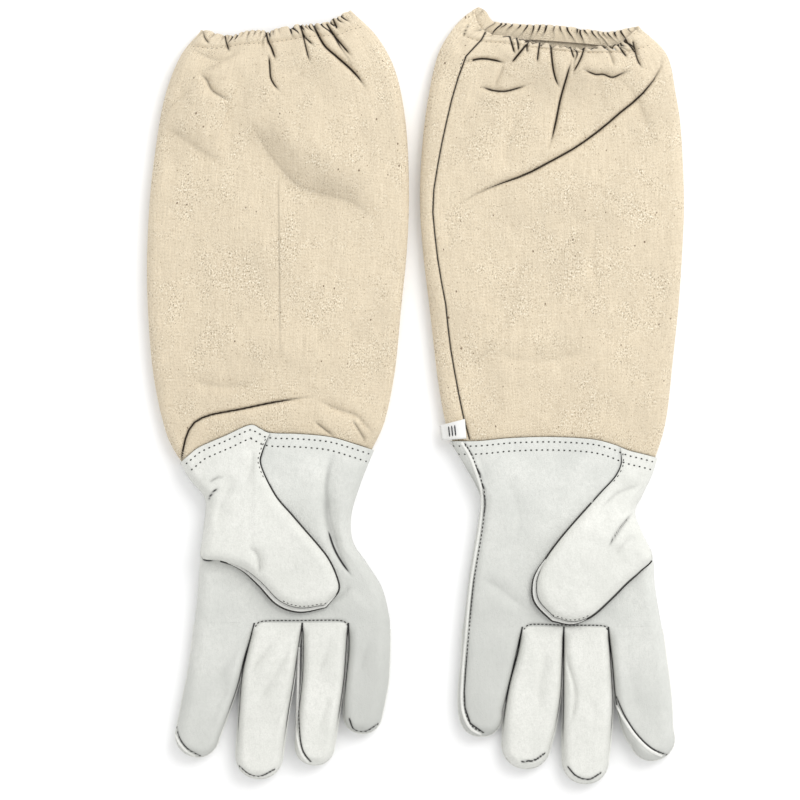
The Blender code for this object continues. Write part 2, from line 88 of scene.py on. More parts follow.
# Outlines. Edges run from the opening of the sleeve towards the fingers.
# A crease is its line, its depth, how wide it is, the height of the cloth on its left and right, how far
# those heights reach, and how much painted shade it has. It fades out at both ends, an open one only at its
# last, and one marked through at neither. A seam is its finger, its line and the side that its welt stands
# on.
GLOVES = {
    "right": {
        "side": 1,
        "sleeve_thumb_edge": [(-48.6, 226), (-61, 209.9), (-70.9, 183.2), (-77.1, 146), (-80.2, 115),
            (-81.5, 77.8), (-80.2, 40.6), (-76.5, 6.5), (-69.1, -24.5), (-60, -41.2), (-51, -53)],
        "sleeve_little_edge": [(45.5, 238.4), (61.8, 221.7), (72.9, 199.9), (79.1, 167.7), (81, 127.4),
            (79.7, 90.2), (76, 53), (72.3, 15.8), (66.1, -15.2), (57.8, -33.8), (48, -52)],
        "front_rim": [(-48.6, 226), (-43.6, 225.4), (-36, 223.2), (-28.8, 223.5), (-17.6, 226),
            (-5.2, 226.3), (13.4, 229.7), (27, 230.3), (32, 231.6), (37, 235), (45.5, 238.4)],
        "back_rim": [(-48.6, 226), (-36, 221), (0, 224), (30, 228), (45.5, 238.4)],
        "leather_top": [(-61, -41.8), (-55, -36.8), (-48.6, -31.9), (-33.1, -25.1), (-17.6, -18.3),
            (-11, -20.6), (-4.6, -23.2), (13.4, -23.9), (32, -25.7), (47.5, -30.1), (60, -34.2)],
        "hand_thumb_edge": [(-69.1, -24.5), (-61, -41.2), (-54.8, -52.4), (-45.5, -64.5), (-46.7, -83.4),
            (-48.6, -102.6), (-50.5, -126.8), (-52, -140.5)],
        "hand_little_edge": [(66.1, -15.2), (59.3, -33.8), (51.8, -52.4), (45.3, -74.1), (46.3, -90.8),
            (54.3, -103.2), (64.2, -119.3), (68.6, -136.1), (69.2, -140.5)],
        "knuckle_y": -140.5,
        "roots": (-52, -14.6, 14.95, 43.4, 69.2),
        "fingers": {
            "index": [(-37, -158, 16.9), (-40.5, -176, 16), (-45.5, -194, 14.8), (-50.2, -210.5, 13.4)],
            "middle": [(-3.3, -158, 15.6), (-6.6, -176, 16.3), (-9.2, -197, 15.4), (-11.8, -223, 14.4)],
            "ring": [(28.7, -158, 13.5), (27.7, -176, 13.1), (25.2, -196, 12.7), (22.6, -217, 12)],
            "little": [(56.3, -158, 12.8), (55, -176, 13.2), (53.2, -190, 12.6), (52.3, -197.5, 11.9)],
        },
        "finger_base": [(-13.8, -142.5), (-9, -139.6), (14.5, -139.2), (38, -139.2), (43, -142)],
        "thumb_upper": [(-5.2, -23.4), (-10.2, -35), (-10.8, -43.7), (-2.1, -61.7), (8.4, -74.1),
            (16.5, -83.4), (24.6, -92.7), (30.8, -100.8), (35.7, -111.3), (37, -120.6), (28.9, -129.6)],
        "thumb_lower": [(-61, -41.4), (-53.4, -52.6), (-44.6, -64.8), (-45.7, -82.2), (-47.6, -99.6),
            (-35, -102), (-21.3, -107), (-10.2, -115.6), (1, -126.8), (13.4, -131.3), (28.9, -129.6)],
        "thumb_rise": (0.7, 0.8, 1.2, 4.5, 8.5, 10.5, 10.5, 10.5, 10.5, 10, 9),
        "thumb_root": ((-22, -76), (13, -11)),
        "thumb_seam_from": 5.2,
        "thumb_welt": (5.2, 9.2),
        "thumb_free_from": (4.9, 2.6),
        "seams": [
            ("index", [(-63.5, -203), (-61, -212), (-56, -218.6), (-48.6, -223)], -1),
            ("middle", [(-24, -229.5), (-18, -234.3), (-11.2, -235.6), (-2.5, -231.5)], 0),
            ("ring", [(14, -156), (12.8, -182.6), (13.2, -207.4), (15.3, -219.8), (20, -226.4)], -1),
            ("little", [(44.2, -200.4), (46.9, -206.6), (53.7, -208), (61.5, -203.5)], 0),
        ],
        "side_seam": None,
        "gathers": (21, 2, [(-46, -38), (-14, -4), (12, 70)]),
        "rim_shadow": 0,
        "sleeve_creases": [
            ([(-7.7, 227), (-6.4, 219.8), (-4, 214.8), (-1, 206)], 1.8, 1.2, 1.6, 0.6, 4, 0.9, "open"),
            ([(-6, 213), (-5.2, 204.3), (-4.6, 196.8), (-2.1, 191.9), (3, 186.6)], 1.2, 1.2, 0.3, 1.4, 5,
                0.8),
            ([(14, 229), (18.4, 210.5), (21, 204)], 1.2, 1.1, 0.8, 0.4, 3, 0.7, "open"),
            ([(21.5, 230.5), (24.6, 223.5), (28.9, 216.1), (35.1, 210.5), (44.4, 202.4), (51, 195),
                (56, 187)], 2.2, 1.4, 0.8, 2, 6, 1, "open"),
            ([(30.1, 230), (35.1, 222.3), (40.1, 216.1), (46.5, 208.5)], 1.8, 1.3, 0.7, 1.4, 4, 0.8, "open"),
            ([(13.4, 229.5), (15.9, 222.9), (19, 219.2), (23.3, 215.4)], 1.4, 1.2, 0.6, 0.8, 3, 0.7, "open"),
            ([(33.5, 234.5), (35.7, 229.7), (36.6, 226)], 1.6, 1.2, 0.6, 0.6, 3, 0.8, "open"),
            ([(-46.7, 226), (-45.5, 221.7), (-42, 217)], 1.3, 1.2, 0.6, 0.6, 3, 0.6, "open"),
            ([(-33.1, 223), (-31.9, 217.9), (-30, 212)], 1.5, 1.2, 0.6, 0.6, 3, 0.7, "open"),
            ([(-50, 200.6), (-44.3, 195.6), (-41.2, 189.4), (-36.2, 185.7), (-28, 181.5)], 1.3, 2.2, 0.4,
                1.8, 8, 0.45),
            ([(-22, 215.4), (-30, 209.2), (-41.2, 203.1), (-52, 198)], 0.9, 3.4, 0.9, 0.2, 8, 0.12),
            ([(-56, 216), (-45.5, 210.5), (-39.3, 208), (-26, 207)], 0.7, 2.6, 0.5, 0.4, 6, 0.12),
            ([(-60.5, -44), (-59, -33.8), (-56.7, -24.5), (-52.9, -17.7), (-46.6, -13.6), (-38.7, -11.3),
                (-23.8, -8.6), (-5.2, -4.7), (13.4, -1.6), (21, -0.8), (27, -2.4)], 1.5, 1.1, 0.2, 2.2, 5, 1,
                "open"),
            ([(23, -1.4), (32, -6.1), (41.3, -9.6), (48.5, -12.1), (54.7, -18.3), (62, -27)], 1.1, 3.2, 0.2,
                1.6, 7, 0.3),
            ([(22, -15.5), (29.5, -21.4), (35.5, -26)], 0.8, 1.3, 0.5, 0.5, 4, 0.5),
            ([(45.3, -13.7), (50.6, -22.2), (55.3, -30.2)], 1, 1.8, 0.6, 0.6, 4, 0.45),
            ([(-55, 9.6), (-35, 6), (-12, 7.8)], 1.2, 4.5, 0.8, 0.2, 10, 0.1),
            ([(-72, 168), (-56, 157), (-42, 148), (-30, 146)], 0.4, 8, 2.8, 0.2, 12, 0.1),
            ([(-22, 176), (-10, 156), (2, 140), (16, 128), (44, 120), (66, 104)], 0.5, 9, 4.4, 0.2, 16,
                0.14),
            ([(0, 150), (1, 40), (1, 10)], 0.3, 0.6, 0.1, 0.1, 6, 0.3),
            # Broad bands of painted shade, with next to no crease in them.
            ([(-24, 174), (4, 152), (36, 130), (62, 116)], 0.1, 40, 0.1, 0.1, 12, 0.13),
            ([(-70, 40), (-30, 24), (40, 20)], 0.1, 40, 0.1, 0.1, 12, 0.04),
        ],
        "hand_creases": [
            ([(36, -32), (31, -48), (30, -64.8), (33.8, -83.4), (38, -98), (47, -113)], 1.6, 4.5, 0.3, 2.8,
                9, 0.3),
            ([(30, -80), (34.5, -94), (40, -104), (47, -113)], 1, 1.2, 0.2, 1, 4, 1),
            ([(30, -56), (30.5, -74), (34, -88), (38, -99)], 0.6, 7, 0.2, 0.8, 5, 0.36),
            ([(46, -117), (38, -124), (30, -128)], 0.8, 2.5, 0.8, 0.2, 6, 0.1),
            ([(-22, -133), (-30, -150), (-40, -175)], 0.8, 6, 0.3, 0.3, 12, 0.05),
        ],
        "finger_creases": {
            "index": [
                ([(-16, -146), (-26, -160), (-40, -180)], 0.9, 5, 1, 0.2, 9, 0.06),
                ([(-30, -180), (-38, -196), (-44, -210)], 0.5, 4, 0.5, 0.2, 7, 0.04),
            ],
            "middle": [
                ([(1, -144), (-6, -156), (-13, -166), (-20, -176)], 0.9, 3, 0.9, 0.2, 5, 0.1),
                ([(10, -150), (3, -165), (-6, -180), (-14, -194)], 0.9, 3.5, 1, 0.2, 6, 0.08),
                ([(8, -182), (2, -196), (-4, -208)], 0.6, 3, 0.6, 0.2, 5, 0.05),
            ],
            "ring": [
                ([(34, -146), (30, -160), (24, -176)], 0.8, 3.5, 0.8, 0.2, 6, 0.08),
                ([(32, -186), (28, -200), (24, -208)], 0.6, 3, 0.6, 0.2, 5, 0.05),
            ],
            "little": [([(60, -146), (54, -160), (50, -176)], 0.6, 4, 0.6, 0.3, 8, 0.06)],
        },
        "thumb_creases": [
            ([(-43.5, -66), (-41.5, -61.5), (-36.5, -56.5)], 0.9, 1.2, 0.5, 0.2, 3, 0.8),
            ([(-43, -55), (-39, -51.5), (-33, -50)], 0.6, 1.2, 0.4, 0.2, 3, 0.4),
            ([(-18, -92), (-12.5, -98), (-11, -105), (-12, -113)], 1.4, 2.6, 0.3, 1.2, 5, 0.3),
            ([(-15, -32), (-16, -44), (-21, -58)], 0.9, 3, 0.3, 0.8, 6, 0.1),
            ([(-26, -52), (-34, -66), (-38, -84)], 0.8, 4, 0.3, 0.8, 7, 0.08),
        ],
    },
    "left": {
        "side": -1,
        "sleeve_thumb_edge": [(-54.2, 228.5), (-70.9, 211.1), (-76.5, 186.3), (-79.6, 164.6), (-81.5, 124.3),
            (-80.8, 96.4), (-78.4, 59.2), (-74.6, 22), (-70.3, -15.2), (-63.5, -38.8), (-57, -53)],
        "sleeve_little_edge": [(50, 238.5), (55, 234.8), (62.4, 226.6), (71.1, 211.1), (77.3, 183.2),
            (81, 152.2), (82.2, 121.2), (80.4, 90.2), (75.4, 46.8), (71.1, 9.6), (66.1, -18.3), (62, -28.2),
            (52, -45)],
        "front_rim": [(-54.2, 228.5), (-49.2, 222.9), (-43, 219.2), (-36.8, 216.7), (-31.2, 216.1),
            (-18.2, 215.2), (-3.3, 216.7), (12.8, 219.2), (25.8, 222), (36, 223), (43, 226), (48, 231),
            (50, 238.5)],
        "back_rim": [(-54.2, 228.5), (-46.7, 227.2), (-34.3, 225.4), (-12, 228.2), (4.7, 229.7), (20.2, 230),
            (36, 231.6), (40, 234), (42.5, 238), (46.3, 240.4), (50, 238.5)],
        "leather_top": [(-65.4, -38.8), (-57, -36.6), (-46.7, -34), (-36.8, -30.1), (-23.2, -27),
            (1.6, -25.7), (26.4, -26.4), (46.3, -28.2), (64.6, -28.2)],
        "hand_thumb_edge": [(-70.3, -15.2), (-65, -38.8), (-60.4, -52.4), (-51, -71.5), (-55.4, -84.6),
            (-62.2, -100.8), (-63.4, -117.5), (-66.2, -135), (-67.6, -142.9)],
        "hand_little_edge": [(66.1, -18.3), (63.6, -28.2), (54.3, -43.7), (45, -62.9), (46.5, -80.3),
            (51.2, -108.2), (54.6, -137), (55.5, -142.9)],
        "knuckle_y": -142.9,
        "roots": (-67.6, -34.2, -6.75, 18.85, 55.5),
        "fingers": {
            "index": [(-53.6, -164, 16.9), (-56, -185.7, 17.3), (-58.7, -203, 15.9), (-61.8, -212.5, 13.6)],
            "middle": [(-21.3, -164, 14.7), (-21.9, -189, 15.5), (-21.2, -210.5, 15.1),
                (-20.4, -226.3, 14.2)],
            "ring": [(7.8, -161, 14.1), (11, -182.6, 16.4), (14.4, -204, 16.4), (16.2, -216.3, 14.9)],
            "little": [(40.1, -164, 16.4), (43.2, -182.6, 15.1), (44.4, -193, 13.9), (44.3, -198, 13.2)],
        },
        "finger_base": [(-33.6, -144.5), (-30, -142.4), (-8, -142), (13, -141.6), (17.6, -144.2)],
        "thumb_upper": [(-41.8, -33), (-42.6, -42), (-38.7, -50.5), (-30, -60), (-21, -70), (-12, -80),
            (-4, -89.5), (3, -99), (8, -107.5), (10.5, -116), (9, -126.5), (-0.5, -137)],
        "thumb_lower": [(-65, -39), (-60.8, -51), (-55.5, -62.5), (-51, -72.2), (-55, -84.6), (-61.2, -99.5),
            (-53.6, -108.2), (-44.9, -116.2), (-34.3, -126.8), (-23, -136.5), (-12, -139.8), (-0.5, -137)],
        "thumb_rise": (0.7, 0.9, 1.5, 4, 7, 9.5, 10.5, 10.5, 10.5, 10.5, 10, 9),
        "thumb_root": ((-45, -79), (9, -11)),
        "thumb_seam_from": 5.6,
        "thumb_welt": (9.2, 7.2),
        "thumb_free_from": (5.2, 3.6),
        "seams": [
            ("little", [(55.5, -28.2), (50.2, -36.9), (45.4, -49.3), (42.6, -58.6), (42, -67.9),
                (43.7, -83.4), (46.2, -98.9), (48.7, -114.4), (50.4, -129.9), (51.8, -145.4), (53.2, -160.9),
                (54.4, -176.4), (54.8, -188.8), (53.3, -198.1), (49.5, -205), (43.2, -208.5)], 1),
            ("ring", [(19, -226.5), (11.5, -225.6), (5.2, -221.5)], 0),
            ("middle", [(-9.5, -230.1), (-14.4, -235.3), (-21.9, -237.6), (-29.4, -233.7)], 0),
            ("index", [(-39.6, -187), (-41.6, -192), (-45, -199.2), (-52, -209.6), (-61, -218.2),
                (-70.5, -222.5)], 1),
        ],
        "side_seam": [(38, 233), (40.7, 225.4), (45, 219.2), (51.2, 212.3), (56.2, 206.8), (58, 198.7),
            (61.8, 186.3), (65.5, 170.8), (68, 159.7), (71.7, 139.8), (74.4, 118.1), (72.3, 93.3),
            (69.8, 74.7), (66.7, 59.2), (63.6, 31.3), (59.3, 6.5), (55.6, -12.1), (51.6, -27)],
        "gathers": (22, 2.3, [(-72, -40), (-30, 30)]),
        "rim_shadow": 0.95,
        "sleeve_creases": [
            ([(-60.5, 216), (-66.6, 214.2), (-68.6, 209.2), (-67.2, 203.7), (-60.4, 192.5), (-51.7, 183.2),
                (-41.8, 175.2), (-29.4, 164.6), (-13.9, 153.4), (1.6, 144.8), (17.1, 136.7), (32.6, 131.1),
                (48.1, 124.3), (64, 114.6)], 1.8, 1.1, 2.4, 0.3, 5, 1),
            ([(55.7, 206), (45, 208.3), (36.3, 207.4), (27.7, 205)], 1.6, 1.2, 0.4, 2, 5, 0.9),
            ([(26.5, 204.6), (20.8, 211.7), (14, 220)], 1.8, 1.2, 0.5, 1.8, 4, 1),
            ([(30, 206), (32, 200), (35, 193), (37, 188)], 0.9, 1.8, 0.4, 0.8, 5, 0.25),
            ([(47, 192.2), (37.6, 188.8), (29.5, 188.2), (22.1, 190), (13, 193)], 1.5, 1.5, 1.4, 0.4, 6,
                0.8),
            ([(1.6, 223), (1, 213), (-0.2, 201.8), (-2.7, 193.1), (-7, 188)], 1.6, 1.2, 0.7, 1.4, 5, 0.9,
                "open"),
            ([(-13, 211), (-11.4, 206.8), (-7.7, 194.4), (-4.6, 183.2), (-2.1, 170.8), (0.4, 159.7),
                (3, 150)], 1.6, 1.1, 1.6, 0.7, 5, 1),
            ([(-20, 219), (-18.2, 211.1), (-15.1, 204.3), (-11, 197.3)], 1.5, 1.2, 0.5, 1, 4, 0.8, "open"),
            ([(-16, 203), (-25.7, 198.7), (-31.2, 198.7), (-36.8, 196.8), (-43, 199.3), (-50, 201.6)], 1.3,
                1.5, 0.4, 1.4, 5, 0.7),
            ([(-33.1, 217.4), (-36.2, 209.2), (-38.6, 202.1)], 1, 1.4, 0.5, 0.5, 4, 0.4, "open"),
            ([(-49.8, 219), (-52.3, 208), (-56, 201)], 1.3, 1.3, 0.5, 0.9, 4, 0.7, "open"),
            ([(27, 224), (25.2, 216.7), (23.3, 210.1)], 1.6, 1.1, 0.7, 0.7, 3, 0.9, "open"),
            ([(22.7, 223), (21.5, 216.7), (21.5, 212)], 1.6, 1.1, 0.7, 0.7, 3, 0.9, "open"),
            ([(14, 221.4), (15.9, 216.7), (15.9, 210.7)], 1.4, 1.1, 0.6, 0.6, 3, 0.7, "open"),
            ([(7.8, 219.9), (9.1, 211.7), (9.9, 204.5)], 1.4, 1.1, 0.6, 0.6, 3, 0.8, "open"),
            ([(-10.2, 219), (-12, 211.7), (-13.6, 207)], 1.4, 1.1, 0.6, 0.6, 3, 0.8, "open"),
            ([(-39.9, 220.2), (-42.4, 214.2), (-46.6, 208.2)], 1.5, 1.1, 0.6, 0.6, 3, 0.9, "open"),
            ([(-44.3, 222.7), (-48, 216.7), (-52.2, 210.7)], 1.5, 1.1, 0.6, 0.6, 3, 0.9, "open"),
            ([(20, 175), (28, 150), (24, 135)], 1, 6, 0.5, 0.5, 12, 0.08),
            ([(47, 232.6), (44.5, 233.6), (42, 233.2)], 1, 0.8, 0.3, 0.3, 3, 0.7),
            ([(51, 231.5), (54, 226), (55.6, 221)], 1.2, 0.9, 0.4, 0.4, 3, 0.7),
            ([(-36, 200), (-50, 186), (-62, 160)], 0.5, 6, 0.3, 1.6, 10, 0.06),
            ([(-28, 108), (-25, 84), (-29, 62)], 0.4, 4, 1.2, 0.2, 8, 0.06),
            ([(24, 56), (36, 32), (54, 16)], 0.4, 4, 1.2, 0.2, 9, 0.06),
            ([(-30, 30), (10, 22), (48, 30)], 0.9, 6, 0.5, 0.5, 14, 0.06),
            # Broad bands of painted shade, with next to no crease in them.
            ([(-56, 188), (0, 196), (44, 194)], 0.1, 44, 0.1, 0.1, 12, 0.09),
            ([(-60, 128), (0, 112), (50, 100)], 0.1, 60, 0.1, 0.1, 12, 0.05),
        ],
        "hand_creases": [
            ([(46, -111), (32.6, -119.3), (23.3, -126.8), (12, -134)], 0.9, 4, 0.4, 0.4, 8, 0.08),
            ([(30, -45), (20, -75), (26, -100)], 0.8, 6, 0.4, 0.4, 12, 0.04),
            ([(46, -33), (42, -50), (36, -62)], 0.8, 4, 0.4, 0.4, 8, 0.05),
            ([(63, -28.6), (58.4, -37), (53.4, -45), (47.9, -54), (44.4, -61)], 0.4, 0.5, 0.1, 0.1, 2, 0.9,
                "through"),
        ],
        "finger_creases": {
            "middle": [
                ([(-8.5, -156), (-9.5, -166), (-13.9, -182.6), (-12.4, -198.1), (-7, -209)], 1.3, 1.5, 0.8,
                    0.3, 4, 0.2),
                ([(-24, -186), (-26, -200), (-24, -214)], 0.5, 4, 0.2, 0.2, 8, 0.03),
            ],
            "ring": [([(5.5, -152), (4.7, -166), (8, -184), (7.4, -200)], 1.3, 3.2, 0.5, 0.2, 7, 0.08)],
            "index": [([(-44, -160), (-50, -180), (-54, -200)], 0.5, 5, 0.2, 0.2, 10, 0.02)],
        },
        "thumb_creases": [
            ([(-33, -95), (-38.7, -85.2), (-44.3, -77.8), (-51, -71)], 1, 1.3, 0.9, 0.3, 4, 0.6),
            ([(-28.6, -69.9), (-38.7, -61.1), (-46.7, -57.4), (-56, -55)], 0.8, 2.2, 0.5, 0.3, 5, 0.2),
            ([(-38, -100), (-43, -92), (-50, -86)], 0.7, 2.5, 0.4, 0.3, 5, 0.12),
        ],
    },
}
FINGERS = ("index", "middle", "ring", "little")
for hand_name, drawn in GLOVES.items():
    drawn["hand"] = hand_name
    drawn["centre"] = -drawn["side"] * GLOVE_CENTRE


# ---- curves and surfaces

def through(points, at):
    """Where a smooth curve through points is at each place: 0 is the first point, 1 the second and so on."""
    points = np.asarray(points, float)
    ends = np.vstack([2 * points[0] - points[1], points, 2 * points[-1] - points[-2]])
    k = np.clip(np.floor(at).astype(int), 0, len(points) - 2)
    t = (at - k)[:, None]
    a, b, c, d = (ends[k + i] for i in range(4))
    most = 2 * b + (c - a) * t + (2 * a - 5 * b + 4 * c - d) * t ** 2
    return 0.5 * (most + (3 * b - a - 3 * c + d) * t ** 3)


def spline(points, count):
    """count points, evenly spaced along a smooth curve through the given ones."""
    fine = through(points, np.linspace(0, len(points) - 1, 20 * len(points)))
    steps = np.linalg.norm(np.diff(fine[:, :2], axis=0), axis=1)
    along = np.concatenate([[0], np.cumsum(steps)])
    at = np.linspace(0, along[-1], count)
    return np.column_stack([np.interp(at, along, column) for column in fine.T])


def at_height(edge, y):
    """The x of an edge at the height y."""
    fine = spline(edge, 240)[::-1]
    return np.interp(y, fine[:, 1], fine[:, 0])


def over(line, x):
    """The y of a line that runs across, at x."""
    fine = spline(line, 160)
    return np.interp(x, fine[:, 0], fine[:, 1])


def rounded(x):
    """From 0 at an edge to 1 a radius away from it, as a quarter of a circle."""
    return np.sqrt(1 - (1 - np.clip(x, 0, 1)) ** 2)


def eased(x):
    """From 0 to 1, level at both ends."""
    x = np.clip(x, 0, 1)
    return x * x * (3 - 2 * x)


def bell(x, width):
    """1 where x is 0, falling to nothing about two widths away."""
    return np.exp(-(x / width) ** 2)


def across_of(path):
    """Unit vectors across a path."""
    along = np.gradient(np.asarray(path)[:, :2], axis=0)
    return np.column_stack([-along[:, 1], along[:, 0]]) / np.linalg.norm(along, axis=1)[:, None]


def outward_of(path, centre):
    """Unit vectors across a path, pointing away from a centre."""
    normal = across_of(path)
    away = np.asarray(path)[:, :2] - centre
    return normal * np.where((normal * away).sum(axis=1) < 0, -1, 1)[:, None]


def columns_across(count, width=SLEEVE_WIDTH, radius=SLEEVE_ROUND, bends=8):
    """Places from 0 to 1 across a surface, closer together where it rounds off at its edges."""
    share = radius / width
    bend = share * (1 - np.cos(np.linspace(0, np.pi / 2, bends + 1)[:-1]))
    return np.concatenate([bend, np.linspace(share, 1 - share, count), 1 - bend[::-1]])


def to_line(x, y, line):
    """How far each place is from a line, how far along it the nearest point is (0 to 1), and its side."""
    steps = np.diff(line, axis=0)
    lengths = np.hypot(steps[:, 0], steps[:, 1])
    starts = np.concatenate([[0], np.cumsum(lengths)])
    best, share, side = np.full(x.shape, 1e9), np.zeros(x.shape), np.ones(x.shape)
    for (ax, ay), (dx, dy), length, start in zip(line, steps, lengths, starts):
        t = np.clip(((x - ax) * dx + (y - ay) * dy) / length ** 2, 0, 1)
        px, py = x - ax - t * dx, y - ay - t * dy
        distance = np.hypot(px, py)
        nearer = distance < best
        best = np.where(nearer, distance, best)
        share = np.where(nearer, (start + t * length) / starts[-1], share)
        side = np.where(nearer, np.sign(dx * py - dy * px), side)
    return best, share, side


def distance_to(x, y, line):
    """How far each place is from a line."""
    return to_line(x, y, line)[0]


def creased(x, y, creases):
    """(height, painted shade) that creases add to a surface."""
    height, shade = np.zeros(x.shape), np.zeros(x.shape)
    for line, depth, width, left, right, reach, dark, *ends in creases:
        line = spline(line, 20)
        margin = 5 * max(width, reach)
        near = (x > line[:, 0].min() - margin) & (x < line[:, 0].max() + margin)
        near &= (y > line[:, 1].min() - margin) & (y < line[:, 1].max() + margin)
        if not near.any():
            continue
        distance, share, side = to_line(x[near], y[near], line)
        fade = np.ones(share.shape)
        if ends != ["through"]:
            fade = fade * eased((1 - share) / 0.3)
        if not ends:
            fade = fade * eased(share / 0.25)
        bank = np.where(side > 0, left, right) * (distance / reach) * np.exp(1 - distance / reach)
        height[near] += fade * (bank - depth * bell(distance, width))
        shade[near] = np.maximum(shade[near], fade * dark * bell(distance, 0.35 + 0.24 * width))
    return height, shade


def ripple(x, y, size, seed, stretch=1.0):
    """Gentle irregular waves about size across, between about -1 and 1."""
    chosen = np.random.default_rng(seed)
    total = np.zeros(np.broadcast(x, y).shape)
    for _ in range(14):
        turn, phase = chosen.uniform(0, 2 * np.pi, 2)
        wave = 2 * np.pi / (size * chosen.uniform(0.7, 1.6))
        total += np.cos(wave * (x * np.cos(turn) + y * np.sin(turn) / stretch) + phase)
    return total / 5


# ---- pieces

def in_world(glove, places):
    """Places of the glove's frame, in metres."""
    return ((np.asarray(places, float) * (glove["side"], 1, 1) + (glove["centre"], 0, 0)) * MM).tolist()


def faces_between(rows, columns, first=0):
    """The faces between closed rings of points that follow each other."""
    corners = []
    for i in range(rows - 1):
        for j in range(columns):
            near, far = first + i * columns, first + (i + 1) * columns
            k = (j + 1) % columns
            corners.append([near + j, near + k, far + k, far + j])
    return corners


def add_object(name, mesh, finish):
    mesh.materials.append(finish)
    obj = bpy.data.objects.new(name, mesh)
    bpy.context.scene.collection.objects.link(obj)
    return obj


def add_values(mesh, name, kind, values):
    """Values at the mesh's points, which the finishes read."""
    layer = mesh.attributes.new(name, kind, "POINT")
    field = "vector" if kind == "FLOAT_VECTOR" else "value"
    layer.data.foreach_set(field, np.asarray(values, np.float32).ravel())


def altered(mesh, change):
    """Make one change to a mesh with Blender's mesh tools."""
    made = bmesh.new()
    made.from_mesh(mesh)
    change(made)
    made.to_mesh(mesh)
    made.free()


def add_grid(name, glove, points, flat, finish, shade=None, closed=False, merge=False):
    """A smooth surface through rows of points. The rows follow each other towards the fingers."""
    rows, columns = points.shape[:2]
    index = np.arange(rows * columns).reshape(rows, columns)
    if closed:
        index = np.column_stack([index, index[:, 0]])
    corners = np.stack([index[:-1, :-1], index[1:, :-1], index[1:, 1:], index[:-1, 1:]], axis=-1)
    corners = corners.reshape(-1, 4)
    if glove["side"] < 0:
        corners = corners[:, ::-1]
    name = f"{glove['hand']}_{name}"
    mesh = bpy.data.meshes.new(name)
    mesh.from_pydata(in_world(glove, points.reshape(-1, 3)), [], corners.tolist())
    add_values(mesh, "flat", "FLOAT_VECTOR", flat)
    add_values(mesh, "shade", "FLOAT", np.zeros((rows, columns)) if shade is None else shade)
    towards_little_finger = (0.6 * points[..., 0] - 0.7 * points[..., 1] - 45) / 130
    add_values(mesh, "dull", "FLOAT", np.clip(towards_little_finger, 0, 1))
    if merge:
        altered(mesh, lambda made: bmesh.ops.remove_doubles(made, verts=made.verts, dist=0.02 * MM))
    mesh.shade_smooth()
    return add_object(name, mesh, finish)


def add_strip(name, glove, path, outward, section, finish):
    """A closed strip swept along a path. Its section is a loop of (outward, up) places."""
    count, sides = len(path), len(section)
    places = []
    for (x, y, z), (ox, oy) in zip(path, outward):
        places += [(x + ox * out, y + oy * out, z + up) for out, up in section]
    ends = [list(range(sides)), list(range((count - 1) * sides, count * sides))]
    name = f"{glove['hand']}_{name}"
    mesh = bpy.data.meshes.new(name)
    mesh.from_pydata(in_world(glove, places), [], ends + faces_between(count, sides))
    add_values(mesh, "flat", "FLOAT_VECTOR", places)
    add_values(mesh, "shade", "FLOAT", np.zeros(len(places)))
    altered(mesh, lambda made: bmesh.ops.recalc_face_normals(made, faces=made.faces))
    mesh.shade_smooth()
    mesh.set_sharp_from_angle(angle=math.radians(50))
    return add_object(name, mesh, finish)


def ground(*objects):
    """What stitches rest on: the meshes of these objects, in metres."""
    places, faces = [], []
    for obj in objects:
        first = len(places)
        places += [v.co.copy() for v in obj.data.vertices]
        faces += [[first + i for i in p.vertices] for p in obj.data.polygons]
    return BVHTree.FromPolygons(places, faces)


def drop(tree, glove, x, y, from_under=False):
    """Where a vertical line from above, or from under, meets a surface, and how the surface faces there."""
    start = Vector(((glove["centre"] + glove["side"] * x) * MM, y * MM, -0.05 if from_under else 0.1))
    hit, normal, _, _ = tree.ray_cast(start, Vector((0, 0, 1 if from_under else -1)))
    return hit, normal


def add_stitches(name, glove, line, below, finish, pitch, length, radius, from_under=False):
    """A row of stitches along a line, each a short bead of thread that dips into the surface it rests on."""
    fine = spline(line, max(3, int(np.hypot(*np.diff(spline(line, 60), axis=0).T[:2]).sum() / pitch)))
    around, stations = 6, ((-0.5, 0.35), (-0.32, 0.95), (0, 1.12), (0.32, 0.95), (0.5, 0.35))
    places, faces = [], []
    for (x, y), (dx, dy) in zip(fine[:, :2], np.gradient(fine[:, :2], axis=0)):
        hit, normal = drop(below, glove, x, y, from_under)
        if hit is None:
            continue
        if (normal.z > 0) == from_under:
            normal.negate()
        along = Vector((glove["side"] * dx, dy, 0)).normalized()
        along = (along - normal * along.dot(normal)).normalized()
        beside = normal.cross(along)
        first = len(places)
        for at, size in stations:
            middle = hit + along * at * length * MM + normal * (0.1 - at * at) * radius * MM
            for i in range(around):
                turn = 2 * math.pi * i / around
                spoke = beside * math.cos(turn) + normal * math.sin(turn)
                places.append(tuple(middle + spoke * radius * size * MM))
        faces += faces_between(len(stations), around, first)
        faces.append([first + j for j in range(around)][::-1])
        faces.append([first + (len(stations) - 1) * around + j for j in range(around)])
    name = f"{glove['hand']}_{name}"
    mesh = bpy.data.meshes.new(name)
    mesh.from_pydata(places, [], faces)
    mesh.shade_smooth()
    return add_object(name, mesh, finish)


def settle(piece, glove, slot, *nodes, body="glove"):
    """Let a piece ride on a body of its glove, in place of CAD nodes."""
    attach(piece, f"{glove['hand']}_{body}")
    if nodes:
        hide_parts(*(f"{glove['hand']}_{node}" for node in nodes))
    return piece


def bend_at_knuckle(piece):
    """Bake a piece's place into its mesh."""
    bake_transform(piece)


def fold_place(glove, x, y):
    """A place of the glove's frame in metres, at seam height."""
    return ((glove["centre"] + glove["side"] * x) * MM, y * MM, HAND_SEAM * MM)


# ---- materials

